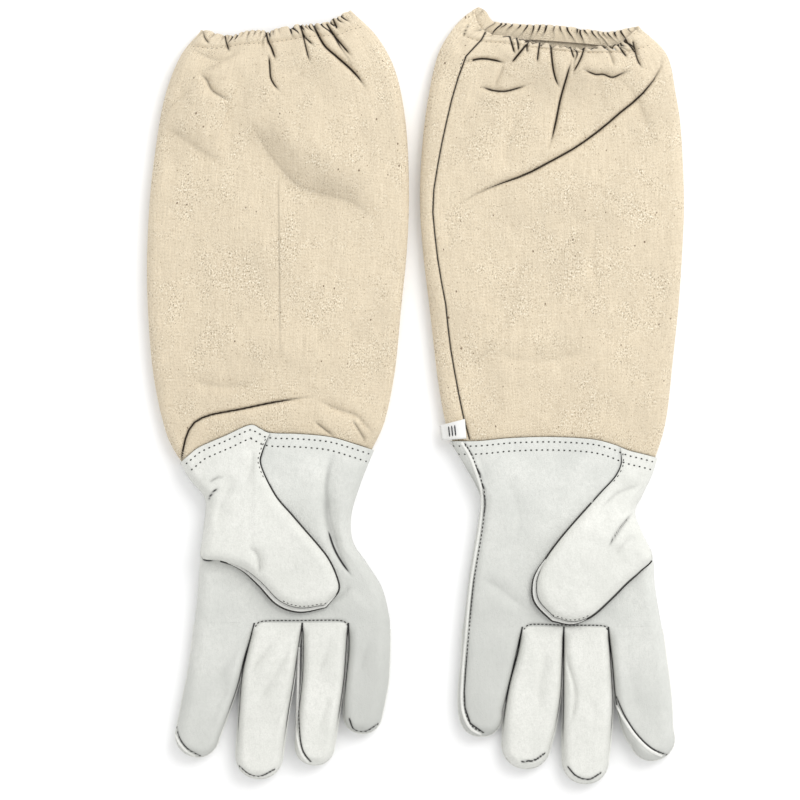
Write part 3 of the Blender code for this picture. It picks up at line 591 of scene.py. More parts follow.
class Finish:
    """A material under construction. Each method adds one node and gives its output."""

    def __init__(self, name, roughness, sheen=0.0, specular=0.5):
        self.material = bpy.data.materials.new(name)
        self.material.use_nodes = True
        self.nodes, self.links = self.material.node_tree.nodes, self.material.node_tree.links
        self.shader = self.nodes["Principled BSDF"]
        self.fill(self.shader, {"Roughness": roughness, "Sheen Weight": sheen, "Sheen Roughness": 0.5,
                                "Specular IOR Level": specular})

    def fill(self, node, inputs):
        """Give a node's inputs a value each, or link them."""
        for socket, value in inputs.items():
            if isinstance(value, bpy.types.NodeSocket):
                self.links.new(value, node.inputs[socket])
            else:
                node.inputs[socket].default_value = value

    def node(self, kind, inputs=None, output=0, **settings):
        made = self.nodes.new(kind)
        for key, value in settings.items():
            setattr(made, key, value)
        self.fill(made, inputs or {})
        return made.outputs[output]

    def attribute(self, name, output="Fac"):
        return self.node("ShaderNodeAttribute", output=output, attribute_name=name)

    def math(self, operation, a, b=0.0):
        return self.node("ShaderNodeMath", {0: a, 1: b}, operation=operation)

    def scaled(self, vector, factors):
        return self.node("ShaderNodeVectorMath", {0: vector, 1: factors}, operation="MULTIPLY")

    def noise(self, vector, scale, detail, roughness, distortion=0.0):
        return self.node("ShaderNodeTexNoise", {"Vector": vector, "Scale": scale, "Detail": detail,
                                                "Roughness": roughness, "Distortion": distortion})

    def cells(self, vector, scale, output="Distance"):
        return self.node("ShaderNodeTexVoronoi", {"Vector": vector, "Scale": scale}, output)

    def flecks(self, vector, scale, channel, size):
        """Small dots, one in most cells, of uneven sizes."""
        near = self.cells(vector, scale)
        chosen = self.node("ShaderNodeSeparateColor", {0: near.node.outputs["Color"]}, channel)
        return self.math("LESS_THAN", near, self.between(chosen, 0.3, 1.0, 0.0, size))

    def waves(self, vector, period, direction, distortion):
        inputs = {"Vector": vector, "Scale": math.pi / (10 * period), "Distortion": distortion,
                  "Detail": 1.0, "Detail Scale": 2.0}
        return self.node("ShaderNodeTexWave", inputs, "Fac", bands_direction=direction)

    def between(self, value, low, high, out_low=0.0, out_high=1.0):
        return self.node("ShaderNodeMapRange", {"Value": value, "From Min": low, "From Max": high,
                                                "To Min": out_low, "To Max": out_high})

    def mix(self, share, *colours):
        a, b = ((*colour, 1) if isinstance(colour, tuple) else colour for colour in colours)
        return self.node("ShaderNodeMix", {"Factor": share, 6: a, 7: b}, 2, data_type="RGBA")

    def shaded(self, tone, dark):
        """Painted shade from the mesh's shade values: the tone softly darker beside a fold, and nearly black
        where the fold closes.
        """
        shade = self.attribute("shade")
        tone = self.mix(self.between(shade, 0, 0.5, 0, 0.5), tone, dark)
        return self.mix(self.between(shade, 0.36, 0.62), tone, dark)

    def bump(self, height, strength, distance):
        return self.node("ShaderNodeBump", {"Height": height, "Strength": strength, "Distance": distance})

    def done(self, colour, **others):
        self.fill(self.shader, {"Base Color": colour, **others})
        return self.material


# The near-black of the painted shade where a fold or seam closes.
FOLD_SHADE = (0.025, 0.025, 0.025)


def darker(colour, share):
    return tuple(share * v for v in colour)


def canvas_finish():
    """Unbleached cotton canvas: a plain weave with uneven threads and dark flecks of seed husk."""
    f = Finish("unbleached_canvas", 0.92, sheen=0.12, specular=0.2)
    flat = f.attribute("flat", "Vector")
    weave = f.math("MAXIMUM", f.waves(flat, 0.85, "X", 1.2), f.waves(flat, 0.85, "Y", 1.2))
    upright = f.noise(f.scaled(flat, (0.9, 0.05, 1)), 1.0, 3.0, 0.6)
    level = f.noise(f.scaled(flat, (0.06, 0.9, 1)), 1.0, 2.0, 0.6)
    blotch = f.noise(flat, 0.03, 4.0, 0.6)
    grain = f.noise(f.scaled(flat, (1, 0.8, 1)), 1.15, 2.0, 0.7)
    nubs = f.noise(flat, 0.28, 4.0, 0.8)
    rough = f.between(f.noise(flat, 0.05, 4.0, 0.7), 0.47, 0.66, 0.22, 1.0)
    tone = f.mix(f.between(upright, 0.3, 0.7), (0.81, 0.70, 0.525), (0.67, 0.57, 0.42))
    tone = f.mix(f.between(level, 0.35, 0.75, 0, 0.35), tone, (0.84, 0.735, 0.565))
    tone = f.mix(f.between(blotch, 0.45, 0.7, 0, 0.5), tone, (0.65, 0.56, 0.42))
    tone = f.mix(f.math("MULTIPLY", f.between(grain, 0.55, 0.64), rough), tone, (0.30, 0.235, 0.15))
    tone = f.mix(f.math("MULTIPLY", f.between(grain, 0.44, 0.35), rough), tone, (1.0, 0.94, 0.79))
    tone = f.mix(f.between(nubs, 0.56, 0.74, 0, 0.5), tone, (0.46, 0.37, 0.25))
    tone = f.mix(f.between(weave, 0.2, 0.9, 0.18, 0.0), tone, (0.42, 0.34, 0.23))
    large = f.flecks(f.scaled(flat, (1, 0.8, 1)), 0.16, 0, 0.10)
    tone = f.mix(f.math("MULTIPLY", large, 0.8), tone, (0.13, 0.075, 0.04))
    small = f.flecks(flat, 0.42, 1, 0.17)
    tone = f.mix(f.math("MULTIPLY", small, 0.65), tone, (0.24, 0.16, 0.09))
    # Painted shade in the creases, seams and gathers, near-black brown at their core.
    tone = f.shaded(tone, (0.03, 0.02, 0.012))
    height = f.math("ADD", weave, f.math("MULTIPLY", grain, 4.0))
    height = f.math("ADD", height, f.math("MULTIPLY", nubs, 3.0))
    return f.done(tone, Normal=f.bump(height, 0.5, 0.0005))


def leather_finish(name, light, dark, grain_size, roughness, depth, dulled=0.0):
    """Goatskin: the grain or the nap of the skin, soft blotches, and painted shade in its creases and seams.
    """
    f = Finish(name, roughness, sheen=0.08, specular=0.35)
    flat = f.attribute("flat", "Vector")
    blotch = f.noise(flat, 0.035, 4.0, 0.6)
    mottle = f.noise(flat, 0.22, 3.0, 0.6)
    fine = f.noise(flat, 1.1 / grain_size, 3.0, 0.7)
    pores = f.cells(flat, 1 / grain_size)
    tone = f.mix(f.between(blotch, 0.35, 0.68), light, dark)
    tone = f.mix(f.between(mottle, 0.4, 0.8, 0, 0.4), tone, darker(dark, 0.93))
    tone = f.mix(f.between(fine, 0.4, 0.75, 0, 0.6), tone, darker(dark, 0.84))
    nap = f.noise(f.scaled(flat, (0.55, 0.3, 1)), 1.0, 4.0, 0.75)
    tone = f.mix(f.between(nap, 0.48, 0.7, 0, 0.5), tone, darker(dark, 0.84))
    if dulled:
        tone = f.mix(f.math("MULTIPLY", f.attribute("dull"), dulled), tone, darker(dark, 0.78))
    tone = f.shaded(tone, FOLD_SHADE)
    wrinkle = f.noise(f.scaled(flat, (0.35, 0.12, 1)), 1.0, 3.0, 0.6, 0.6)
    height = f.math("ADD", f.math("MULTIPLY", fine, 0.6), f.math("MULTIPLY", pores, 0.5))
    height = f.math("ADD", height, f.math("MULTIPLY", wrinkle, 1.6))
    uneven = f.between(mottle, 0.3, 0.7, roughness - 0.07, roughness + 0.05)
    return f.done(tone, Normal=f.bump(height, 0.45, depth), Roughness=uneven)


def thread_finish(name, colour):
    """Twisted sewing thread, with paler worn crowns."""
    f = Finish(name, 0.75, sheen=0.1, specular=0.3)
    place = f.node("ShaderNodeNewGeometry", output="Position")
    fibres = f.noise(f.scaled(place, (2600, 2600, 2600)), 1.0, 2.0, 0.6)
    tone = f.mix(f.between(fibres, 0.3, 0.7), colour, darker(colour, 0.55))
    return f.done(tone, Normal=f.bump(fibres, 0.4, 0.0001))


def tape_finish(name, colour, period):
    """Woven tape: a tight weave of pale thread."""
    f = Finish(name, 0.8, sheen=0.1, specular=0.3)
    flat = f.attribute("flat", "Vector")
    weave = f.math("MAXIMUM", f.waves(flat, period, "X", 0.4), f.waves(flat, period, "Y", 0.4))
    wear = f.noise(flat, 0.5, 3.0, 0.6)
    tone = f.mix(f.between(wear, 0.35, 0.75, 0, 0.5), colour, darker(colour, 0.86))
    tone = f.mix(f.between(weave, 0.2, 0.9, 0.2, 0), tone, darker(colour, 0.6))
    tone = f.shaded(tone, FOLD_SHADE)
    return f.done(tone, Normal=f.bump(weave, 0.3, 0.0002))


CANVAS = canvas_finish()
GREY = leather_finish("grey_suede", (0.735, 0.74, 0.70), (0.63, 0.64, 0.605), 0.75, 0.88, 0.0005, 0.9)
WHITE = leather_finish("white_grain_leather", (0.76, 0.76, 0.715), (0.68, 0.685, 0.64), 1.0, 0.62, 0.0005)
WELT = leather_finish("white_welt", (0.84, 0.84, 0.80), (0.74, 0.74, 0.70), 0.9, 0.7, 0.0003)
THREAD = thread_finish("dark_thread", (0.05, 0.048, 0.045))
PALE_THREAD = thread_finish("cream_thread", (0.45, 0.38, 0.28))
ELASTIC = tape_finish("white_elastic", (0.8, 0.8, 0.77), 1.2)
TAG = tape_finish("white_label", (0.86, 0.86, 0.84), 0.5)
INK = thread_finish("label_ink", (0.03, 0.03, 0.035))


# ---- the sleeve

def gathers(across, below, seed, depth, tight):
    """(height, painted shade) of the folds that the elastic makes. They are closest at the tight places."""
    chosen = np.random.default_rng(seed)
    total = np.zeros(np.broadcast(across, below).shape)
    shade, place, down = total.copy(), -SLEEVE_WIDTH / 2 + 2, np.maximum(below, 0)
    while place < SLEEVE_WIDTH / 2 - 2:
        lean, length = chosen.uniform(-0.25, 0.25), chosen.choice([6, 10, 15, 30], p=[0.4, 0.35, 0.17, 0.08])
        pull = 1.0 if any(low < place < high for low, high in tight) else 0.45
        fall, width = depth * pull * chosen.uniform(0.5, 1.3), chosen.uniform(0.9, 1.8)
        middle = place + lean * down + 0.8 * np.sin(down / 3.5 + place)
        spread_out = width + 0.07 * down
        fade = (down / length) ** 2
        total -= fall * np.exp(-np.abs((across - middle) / spread_out) ** 1.3 - fade)
        # Painted shade down the middle of each fold.
        dark = pull * chosen.uniform(0.6, 1.4) * np.exp(-((across - middle) / 0.9) ** 2 - 1.6 * fade)
        shade = np.maximum(shade, np.minimum(dark, 1.0))
        place += chosen.uniform(3.5, 9.0) / (0.5 + 0.5 * pull)
    return total, shade


def sleeve_points(glove, share, across, front, inset=0.0):
    """Points of the sleeve, its flat places and its shade. share is 0 at the opening, 1 under the leather."""
    share, across = np.asarray(share, float)[:, None], np.asarray(across, float)[None, :]
    a, b = spline(glove["sleeve_thumb_edge"], 400), spline(glove["sleeve_little_edge"], 400)
    places = np.linspace(0, 1, 400)
    inside = np.clip(share, 0, 1)
    ax, ay, bx, by = (np.interp(inside, places, edge[:, i]) for edge in (a, b) for i in (0, 1))
    width = np.hypot(bx - ax, by - ay)
    v = (inset / width) + across * (1 - 2 * inset / width)
    x, y = ax + (bx - ax) * v, ay + (by - ay) * v
    below = share * SLEEVE_LENGTH
    rim = spline(glove["front_rim" if front else "back_rim"], 200)
    rim_v = (rim[:, 0] - a[0, 0]) / (b[0, 0] - a[0, 0])
    rim_y = rim[:, 1] - (a[0, 1] + (b[0, 1] - a[0, 1]) * rim_v)
    y = y + np.interp(across, rim_v, rim_y) * np.clip(1 - share, 0, 1) ** 9
    y = y - np.minimum(share, 0) * SLEEVE_LENGTH
    flat_x = (across - 0.5) * SLEEVE_WIDTH
    seed, depth, tight = glove["gathers"]
    if front:
        folds, pleat_shade = gathers(flat_x, below, seed, depth, tight)
    else:
        folds, pleat_shade = gathers(flat_x, below, seed + 50, depth, [(-70, 60)])
    edge = np.minimum(v, 1 - v) * width
    bend = rounded(edge / SLEEVE_ROUND)
    seam = np.interp(share, [0, 0.08], [SLEEVE_SEAM - 2.5, SLEEVE_SEAM])
    hem = 0.9 * bell(below - HEM, 1.8) - 0.6 * bell(below - HEM / 2, 5)
    if front:
        heights = [OPENING_HEIGHT, 11.0, 14.0, SLEEVE_HEIGHT + 0.8, SLEEVE_HEIGHT, CUFF_HEIGHT]
        high = np.interp(share, [0, 0.03, 0.1, 0.3, 0.85, 1], heights)
        crown = SLEEVE_CROWN * (1 - (2 * v - 1) ** 2) * np.clip((1 - share) / 0.15, 0, 1)
        near_hem = bell(below, 70)
        waves = 0.55 * ripple(x, y, 60, seed, 1.4) + (0.2 + 0.35 * near_hem) * ripple(x, y, 22, seed + 1, 1.5)
        waves = (waves + 0.12 * ripple(x, y, 9, seed + 2, 1.3)) * eased((1 - share) / 0.12)
        line = glove["side_seam"]
        # The side seam is a shallow groove with painted shade in it.
        seams = [(line, 0.8, 0.8, 0.5, 0.1, 2.5, 0.8, "through")] if line else []
        creases, shade = creased(x, y, glove["sleeve_creases"] + seams)
        rise = high - seam + crown + waves + folds + creases - hem
        z = seam + (np.maximum(rise, LEAST_RISE) - inset) * bend
        # Painted shade on the canvas along the leather's top edge.
        shade = np.maximum(shade, 0.6 * bell(distance_to(x, y, spline(glove["leather_top"], 40)), 0.7))
        # Painted shadow in a ragged line along the front rim's edge.
        rim = glove["rim_shadow"] * bell(below, 0.6) * np.clip(0.2 + 1.3 * ripple(x, x, 6, 3), 0, 1)
        shade = np.maximum(np.maximum(shade, pleat_shade), rim * (np.abs(across - 0.5) < 0.36)) * bend
        y = y + 1.1 * folds * bell(below, 6)
    else:
        lift = (inset + 2.5 - folds * 0.8) * bell(below, 40) + 0.9 * eased((share - 0.9) / 0.08)
        z = seam - (seam - FLOOR_GAP) * bend + lift * bend
        shade = pleat_shade * bend
        y = y + 0.45 * folds * bell(below, 6)
    points = np.stack(np.broadcast_arrays(x, y, z), axis=-1)
    cut = 0 if front else SLEEVE_BACK_CUT
    flat = np.stack(np.broadcast_arrays(flat_x + cut, below, 7.0 * seed), axis=-1)
    return points, flat, np.broadcast_to(shade, points.shape[:2])


def sleeve_ring(glove, share, inset, front_columns, back_columns):
    """Closed rings of the sleeve, over its front from the thumb side and back underneath."""
    front = sleeve_points(glove, share, front_columns, True, inset)
    back = sleeve_points(glove, share, back_columns[::-1][1:-1], False, inset)
    return [np.concatenate(pair, axis=1) for pair in zip(front, back)]


def stacked_rings(glove, places, front_columns, back_columns):
    """Rings one after another, at (depth below the opening, inset) places."""
    rings = [sleeve_ring(glove, [below / SLEEVE_LENGTH], inset, front_columns, back_columns)
             for below, inset in places]
    return [np.concatenate(parts) for parts in zip(*rings)]


def remove_upright_faces(made, height):
    """Open a closed ring where it would run up a side edge."""
    tall = [f for f in made.faces if max(v.co.z for v in f.verts) - min(v.co.z for v in f.verts) > height]
    bmesh.ops.delete(made, geom=tall, context="FACES")


def add_sleeve(glove):
    share = np.concatenate([np.linspace(0, 0.14, 80)[:-1], np.linspace(0.14, 1, 330)])
    points, flat, shade = sleeve_ring(glove, share, 0.0, columns_across(290), columns_across(90))
    sleeve = add_grid("sleeve_canvas", glove, points, flat, CANVAS, shade, closed=True)
    settle(sleeve, glove, "canvas", "canvas_sleeve")
    turned = [(0, 0.05), (-0.5, 0.25), (-0.75, 0.8), (-0.6, 1.4), (0, 1.9)]
    turned += [(d, 2.3) for d in np.linspace(1.5, HEM + 3, 9)]
    points, flat, shade = stacked_rings(glove, turned, columns_across(120), columns_across(320))
    hem = add_grid("hem_turned_in", glove, points, flat, CANVAS, shade, closed=True)
    settle(hem, glove, "canvas", "hem_turning")
    downwards = np.linspace(2.5, HEM - 2, 9)
    around = [(d, 1.5) for d in downwards] + [(d, 1.0) for d in downwards[::-1]]
    columns = 0.06 + 0.88 * columns_across(200)
    points, flat, shade = stacked_rings(glove, around + around[:1], columns, columns)
    band = add_grid("elastic_band", glove, points, flat, ELASTIC, closed=True, merge=True)
    altered(band.data, lambda made: remove_upright_faces(made, 3 * MM))
    settle(band, glove, "elastic", "cuff_elastic")
    return sleeve


def add_sleeve_seam(glove, sleeve, below):
    """The felled seam along the sleeve, its stitches outside and its strip inside."""
    line = glove["side_seam"]
    under = line is None
    if under:
        line = spline(glove["sleeve_little_edge"], 60)[6:52] - (9, 0)
    stitches = add_stitches("side_seam_stitches", glove, line, below, THREAD, 2.4, 1.5, 0.26, under)
    settle(stitches, glove, "thread", "side_seam_thread")
    tree, strip, flat = ground(sleeve), [], []
    for k, (x, y) in enumerate(spline(line, 90)[8:80]):
        steps = 2.5 * np.arange(5)
        row = []
        for at in x - 6 + steps:
            hit, _ = drop(tree, glove, at, y, under)
            row.append((at, y, hit.z / MM + (0.9 if under else -0.9)))
        strip.append(row)
        flat.append([(step, 2.5 * k, 3) for step in steps])
    piece = add_grid("seam_strip", glove, np.array(strip), np.array(flat), CANVAS)
    settle(piece, glove, "canvas", "sleeve_seam_strip")


# ---- the hand

def hand_edges(glove, y):
    return at_height(glove["hand_thumb_edge"], y), at_height(glove["hand_little_edge"], y)


def inside_hand(glove, x, y):
    """0 at the hand's side edges and 1 where its rounding ends."""
    a, b = hand_edges(glove, y)
    return rounded(np.minimum(x - a, b - x) / HAND_ROUND)


def hand_surface(glove, x, y):
    """(height, shade) of the palm's side of the hand."""
    a, b = hand_edges(glove, y)
    edge = inside_hand(glove, x, y)
    calm = eased((y - glove["knuckle_y"]) / 14)
    waves = (0.35 * ripple(x, y, 45, 5 + glove["side"]) + 0.12 * ripple(x, y, 16, 9 + glove["side"])) * calm
    across = (2 * x - a - b) / (b - a)
    crown = 1.2 * (1 - across ** 2) * calm
    creases, shade = creased(x, y, glove["hand_creases"])
    sewn, sewn_shade = creased(x, y, seam_creases(glove))
    base = distance_to(x, y, spline(glove["finger_base"], 40))
    rise = HAND_HEIGHT - HAND_SEAM + crown + waves + creases * calm + sewn - 0.9 * bell(base, 1.1)
    # Painted shade in the creases, the seam grooves and the groove at the finger base.
    shade = np.maximum(np.maximum(shade * calm, sewn_shade), 0.35 * bell(base, 0.7))
    return HAND_SEAM + rise * edge, shade * edge


def seam_creases(glove, finger=None):
    """The narrow grooves of the seams that show on a finger, or on the hand, with painted shade in them."""
    seams = [line for name, line, _ in glove["seams"] if finger in (None, name)]
    return [(line, 0.5, 0.9, 0.1, 0.1, 2.0, 0.9, "through") for line in seams]


def hand_rows(glove, rows, columns):
    """Places of the hand, in rows from the leather's top edge to the knuckles."""
    t, v = np.linspace(0, 1, rows)[:, None], columns[None, :]
    x = np.zeros((rows, len(columns))) + 120 * (v - 0.5)
    for _ in range(12):
        y = over(glove["leather_top"], x) * (1 - t) + glove["knuckle_y"] * t
        a, b = hand_edges(glove, y)
        x = a + (b - a) * v
    return x, y


def contact_shade(glove, x, y):
    """The dark line on the palm where the wing's edge meets it, as far as the wing stays on the hand."""
    upper, lower, places = thumb_lines(glove, 60)
    beside, share, _ = to_line(x, y, upper)
    shade = eased(share * 5 + 0.35) * bell(beside, 1.05)
    below = distance_to(x, y, lower[places > glove["thumb_seam_from"] - 1.0])
    shade = np.maximum(shade, bell(below, 1.05))
    (rx, ry), (dx, dy) = glove["thumb_root"]
    past_root = ((x - rx) * dx + (y - ry) * dy) / math.hypot(dx, dy)
    return shade * eased((5 - past_root) / 5)


def add_hand(glove):
    x, y = hand_rows(glove, 190, columns_across(180, PALM_WIDTH, HAND_ROUND, 7))
    z, shade = hand_surface(glove, x, y)
    shade = np.maximum(shade, contact_shade(glove, x, y))
    points = np.stack([x, y, z], axis=-1)
    cut = points[:1] - (0, 0, LEATHER)
    lip = points[:1] - (0, 0, 0.25)
    inner = points[1:2] - (0, 0, LEATHER)
    points = np.concatenate([inner, cut, lip, points + (0, -0.12, 0)])
    shade = np.concatenate([shade[:1], shade[:1], shade[:1], shade])
    palm = add_grid("palm_leather", glove, points, points + FRONT_CUT, GREY, shade)
    settle(palm, glove, "grey_leather", "palm")
    x, y = hand_rows(glove, 60, columns_across(55, PALM_WIDTH, HAND_ROUND, 7)[::-1])
    z = HAND_SEAM - (HAND_SEAM - FLOOR_GAP) * inside_hand(glove, x, y)
    points = np.stack([x, y, z], axis=-1)
    points = np.concatenate([points[:1] + (0, 0, LEATHER), points])
    back = add_grid("hand_back_leather", glove, points, points * (1, 1, 0) + BACK_CUT, GREY)
    settle(back, glove, "grey_leather", "hand_back")
    return palm


# ---- the thumb

def thumb_lines(glove, rows):
    """The two sides of the wing and thumb, in rows that match."""
    places = np.linspace(0, len(glove["thumb_upper"]) - 1, rows)
    return through(glove["thumb_upper"], places), through(glove["thumb_lower"], places), places


def add_thumb(glove):
    """The wing beside the palm and the thumb that is folded over it."""
    hand, body = glove["hand"], f"{glove['hand']}_glove"
    upper, lower, places = thumb_lines(glove, 130)
    v = 0.5 - 0.5 * np.cos(np.linspace(0, np.pi, 70))
    x = upper[:, :1] * (1 - v) + lower[:, :1] * v
    y = upper[:, 1:] * (1 - v) + lower[:, 1:] * v
    chord = upper[0, 1] + (lower[0, 1] - upper[0, 1]) * v
    bulge = over(glove["leather_top"], x[0]) - chord - 0.25
    y = y + bulge * eased(1 - places / 2.2)[:, None]
    x, y = x[:, ::-1], y[:, ::-1]
    last = len(glove["thumb_upper"]) - 1
    rise = np.interp(places, np.arange(last + 1), glove["thumb_rise"])[:, None]
    lift = eased((places - 2.2) / 2.5)[:, None]
    from_upper, from_lower = distance_to(x, y, upper[::3]), distance_to(x, y, lower[::3])
    edge = rounded(np.minimum(from_upper, from_lower) / THUMB_ROUND)
    base, _ = hand_surface(glove, x, y)
    base = base * (1 - lift) + np.maximum(base, HAND_HEIGHT) * lift
    seam = base + 0.25 + 0.42 * rise * lift
    creases, shade = creased(x, y, glove["thumb_creases"])
    waves = 0.3 * ripple(x, y, 24, 31 + glove["side"]) + 0.1 * ripple(x, y, 9, 33 + glove["side"])
    top = seam + ((1 - 0.42 * lift) * rise + waves + creases) * edge
    shade = shade * edge
    # Painted shade along the thumb's sewn edges.
    for start, distance in ((glove["thumb_seam_from"], from_lower), (glove["thumb_welt"][1], from_upper)):
        shade = np.maximum(shade, 0.95 * eased((places - start) / 1.5)[:, None] * bell(distance, 0.45))
    points = np.stack([x, y, top], axis=-1)
    flat = points + THUMB_FRONT_CUT
    wing = add_grid("wing_and_thumb_leather", glove, points, flat, WHITE, shade, merge=True)
    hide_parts(f"{hand}_thumb_wing", f"{hand}_thumb_front")
    under = seam - 0.42 * rise * lift * edge
    points = np.stack([x, y, under], axis=-1)[:, ::-1][places > 2.6]
    back = add_grid("thumb_back_leather", glove, points, points + THUMB_BACK_CUT, WHITE, merge=True)
    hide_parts(f"{hand}_thumb_back")
    path, outward = thumb_edge(upper, lower, places, seam, *glove["thumb_welt"])
    outward *= (0.3 + (WELT_REACH - 0.3) * np.sin(np.linspace(0, np.pi, len(path))) ** 0.8)[:, None]
    section = [(-1.6, -1.3), (0.9, -1.3), (1.0, -0.8), (0.9, -0.3), (-1.6, -0.3)]
    welt = add_strip("thumb_welt_strip", glove, path, outward, section, WELT)
    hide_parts(f"{hand}_thumb_welt")
    # Dark strips below the welt and along the thumb's free edge: painted shadow of the gap under the thumb's
    # edge.
    below_welt, section = path - (0, 0, 1.45), flat_section(1.0, 1.45)
    welt_shadow_strip = add_strip("thumb_welt_shadow_strip", glove, below_welt, outward, section, THREAD)
    lowered = seam - 0.15 * rise * lift
    path, outward = thumb_edge(upper, lower, places, lowered, *glove["thumb_free_from"])
    edge_shadow_strip = add_strip("thumb_edge_shadow_strip", glove, path, outward, flat_section(1.4, 1.05), THREAD)
    (rx, ry), (dx, dy) = glove["thumb_root"]
    size = math.hypot(dx, dy)
    before, beyond = ROOT_LENGTH
    start = fold_place(glove, rx - before * dx / size, ry - before * dy / size)
    for piece in (wing, back, welt, welt_shadow_strip, edge_shadow_strip):
        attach(piece, body)
        piece.parent = None
        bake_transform(piece)
    return wing


def flat_section(inwards, outwards):
    """The section of a thin flat strip, for the dark strips of painted shadow under the thumb's edge."""
    return [(-inwards, -0.25), (outwards, -0.25), (outwards, 0), (-inwards, 0)]


def thumb_edge(upper, lower, places, heights, lower_from, upper_from):
    """The thumb's edge from its lower side round the tip to its upper side, and the way out from it."""
    down, up = places > lower_from, places > upper_from
    lower_side = np.column_stack([lower, heights[:, 0]])[down]
    upper_side = np.column_stack([upper, heights[:, -1]])[up]
    path = spline(np.vstack([lower_side, upper_side[::-1][1:]]), 110)
    centre = (upper[down].mean(axis=0) + lower[down].mean(axis=0)) / 2
    return path, outward_of(path, centre)


# ---- the fingers

def finger_stations(glove, name):
    """(centre, across, half width) rows from the root to the tip."""
    k = FINGERS.index(name)
    left, right = glove["roots"][k:k + 2]
    spine = [((left + right) / 2, glove["knuckle_y"], (right - left) / 2)] + glove["fingers"][name]
    body = spline(spine, int(-(spine[-1][1] - glove["knuckle_y"]) / 1.1))
    along = np.gradient(body[:, :2], axis=0)
    along /= np.linalg.norm(along, axis=1)[:, None]
    straight = eased(np.linspace(0, len(body) / 9, len(body)))[:, None]
    along = along * straight + np.array([0, -1.0]) * (1 - straight)
    along /= np.linalg.norm(along, axis=1)[:, None]
    across = np.column_stack([-along[:, 1], along[:, 0]])
    centre, half = body[:, :2], body[:, 2]
    turn = np.linspace(0, np.pi / 2, 17)[1:]
    tip_centre = centre[-1] + along[-1] * half[-1] * np.sin(turn)[:, None]
    centre = np.vstack([centre, tip_centre])
    across = np.vstack([across, np.repeat(across[-1:], len(turn), axis=0)])
    half = np.concatenate([half, half[-1] * np.cos(turn) ** 0.92])
    half[-1] = 0
    return centre, across, half


def add_finger(glove, name):
    hand = glove["hand"]
    centre, across, half = finger_stations(glove, name)
    left, right = centre - across * half[:, None], centre + across * half[:, None]
    u = np.sin(np.linspace(-np.pi / 2, np.pi / 2, 46) * 0.92) / math.sin(0.46 * math.pi)
    x = centre[:, :1] + across[:, :1] * half[:, None] * u
    y = centre[:, 1:] + across[:, 1:] * half[:, None] * u
    from_left, from_right = (distance_to(x, y, np.vstack([side[:-1:2], side[-1:]])) for side in (left, right))
    free = eased((glove["knuckle_y"] - y) / 9)
    length = glove["knuckle_y"] - centre[-1, 1]
    apart = eased((y - glove["knuckle_y"] + 0.8 * length) / 20)
    bends, gap_shade = [], np.zeros(x.shape)
    for distance, outer in ((from_left, name == "index"), (from_right, name == "little")):
        bend = rounded(distance / (HAND_ROUND if outer else FINGER_ROUND))
        bends.append(bend if outer else bend * free + (1 - free))
        if not outer:
            # Painted shade down the side where a finger lies against its neighbour.
            gap_shade = np.maximum(gap_shade, 0.8 * apart * bell(distance, 0.65))
    edge = bends[0] * bends[1]
    grow = eased((glove["knuckle_y"] - y) / 25)
    waves = 0.35 * ripple(x, y, 20, 60 + len(name) + glove["side"], 2.0) * grow
    creases, shade = creased(x, y, glove["finger_creases"].get(name, []) + seam_creases(glove, name))
    base = distance_to(x, y, spline(glove["finger_base"], 40))
    rise = HAND_HEIGHT - HAND_SEAM + waves + creases * grow - 0.9 * bell(base, 1.1)
    shade = np.maximum(np.maximum(shade * grow, 0.35 * bell(base, 0.7)) * edge, gap_shade)
    points = np.stack([x, y, HAND_SEAM + rise * edge], axis=-1)
    finish, slot = (WHITE, "white_leather") if name in ("middle", "ring") else (GREY, "grey_leather")
    front = add_grid(f"{name}_front_leather", glove, points, points + FRONT_CUT, finish, shade, merge=True)
    low = HAND_SEAM - (HAND_SEAM - FLOOR_GAP) * rounded(np.minimum(from_left, from_right) / HAND_ROUND)
    low = low * free + (HAND_SEAM - (HAND_SEAM - FLOOR_GAP) * edge) * (1 - free)
    points = np.stack([x, y, low], axis=-1)[:, ::-1]
    flat = points * (1, 1, 0) + BACK_CUT
    back = add_grid(f"{name}_back_leather", glove, points, flat, GREY, merge=True)
    path = spline(np.vstack([left[2:], right[-2:1:-1]])[::3], 110)
    path = np.column_stack([path, np.full(len(path), HAND_SEAM)])
    section = [(-2.2, -0.5), (0.35, -0.5), (0.6, 0), (0.35, 0.5), (-2.2, 0.5)]
    outward = outward_of(path, centre[len(centre) // 2])
    welt = add_strip(f"{name}_welt_strip", glove, path, outward, section, WELT)
    for piece, node in ((front, "front"), (back, "back"), (welt, "welt")):
        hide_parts(f"{hand}_{name}_{node}")
        bend_at_knuckle(piece)
    return front


# ---- sewing

def add_cuff_stitches(glove, below):
    edge = spline(glove["leather_top"], 80)
    for row, depth in zip(("upper", "lower"), STITCH_ROWS):
        line = (edge - across_of(edge) * depth)[2:-2]
        stitches = add_stitches(f"cuff_stitches_{row}", glove, line, below, THREAD, 3.3, 1.3, 0.42)
        settle(stitches, glove, "thread", f"cuff_thread_{row}")
    upper, _, places = thumb_lines(glove, 60)
    line = upper[(places > 0.3) & (places < 2.4)] - (0.9, 0)
    stitches = add_stitches("wing_stitches", glove, line, below, THREAD, 2.6, 1.4, 0.28)
    settle(stitches, glove, "thread")
    _, lower, places = thumb_lines(glove, 90)
    line = lower[places > len(glove["thumb_lower"]) - 2.9] + (0.4, 1.4)
    stitches = add_stitches("thumb_tip_stitches", glove, line, below, THREAD, 2.2, 1.3, 0.3)
    settle(stitches, glove, "thread", body="thumb")
    line = glove["finger_base"]
    stitches = add_stitches("finger_base_stitches", glove, line, below, THREAD, 2.3, 1.6, 0.34)
    settle(stitches, glove, "thread", "finger_base_thread")


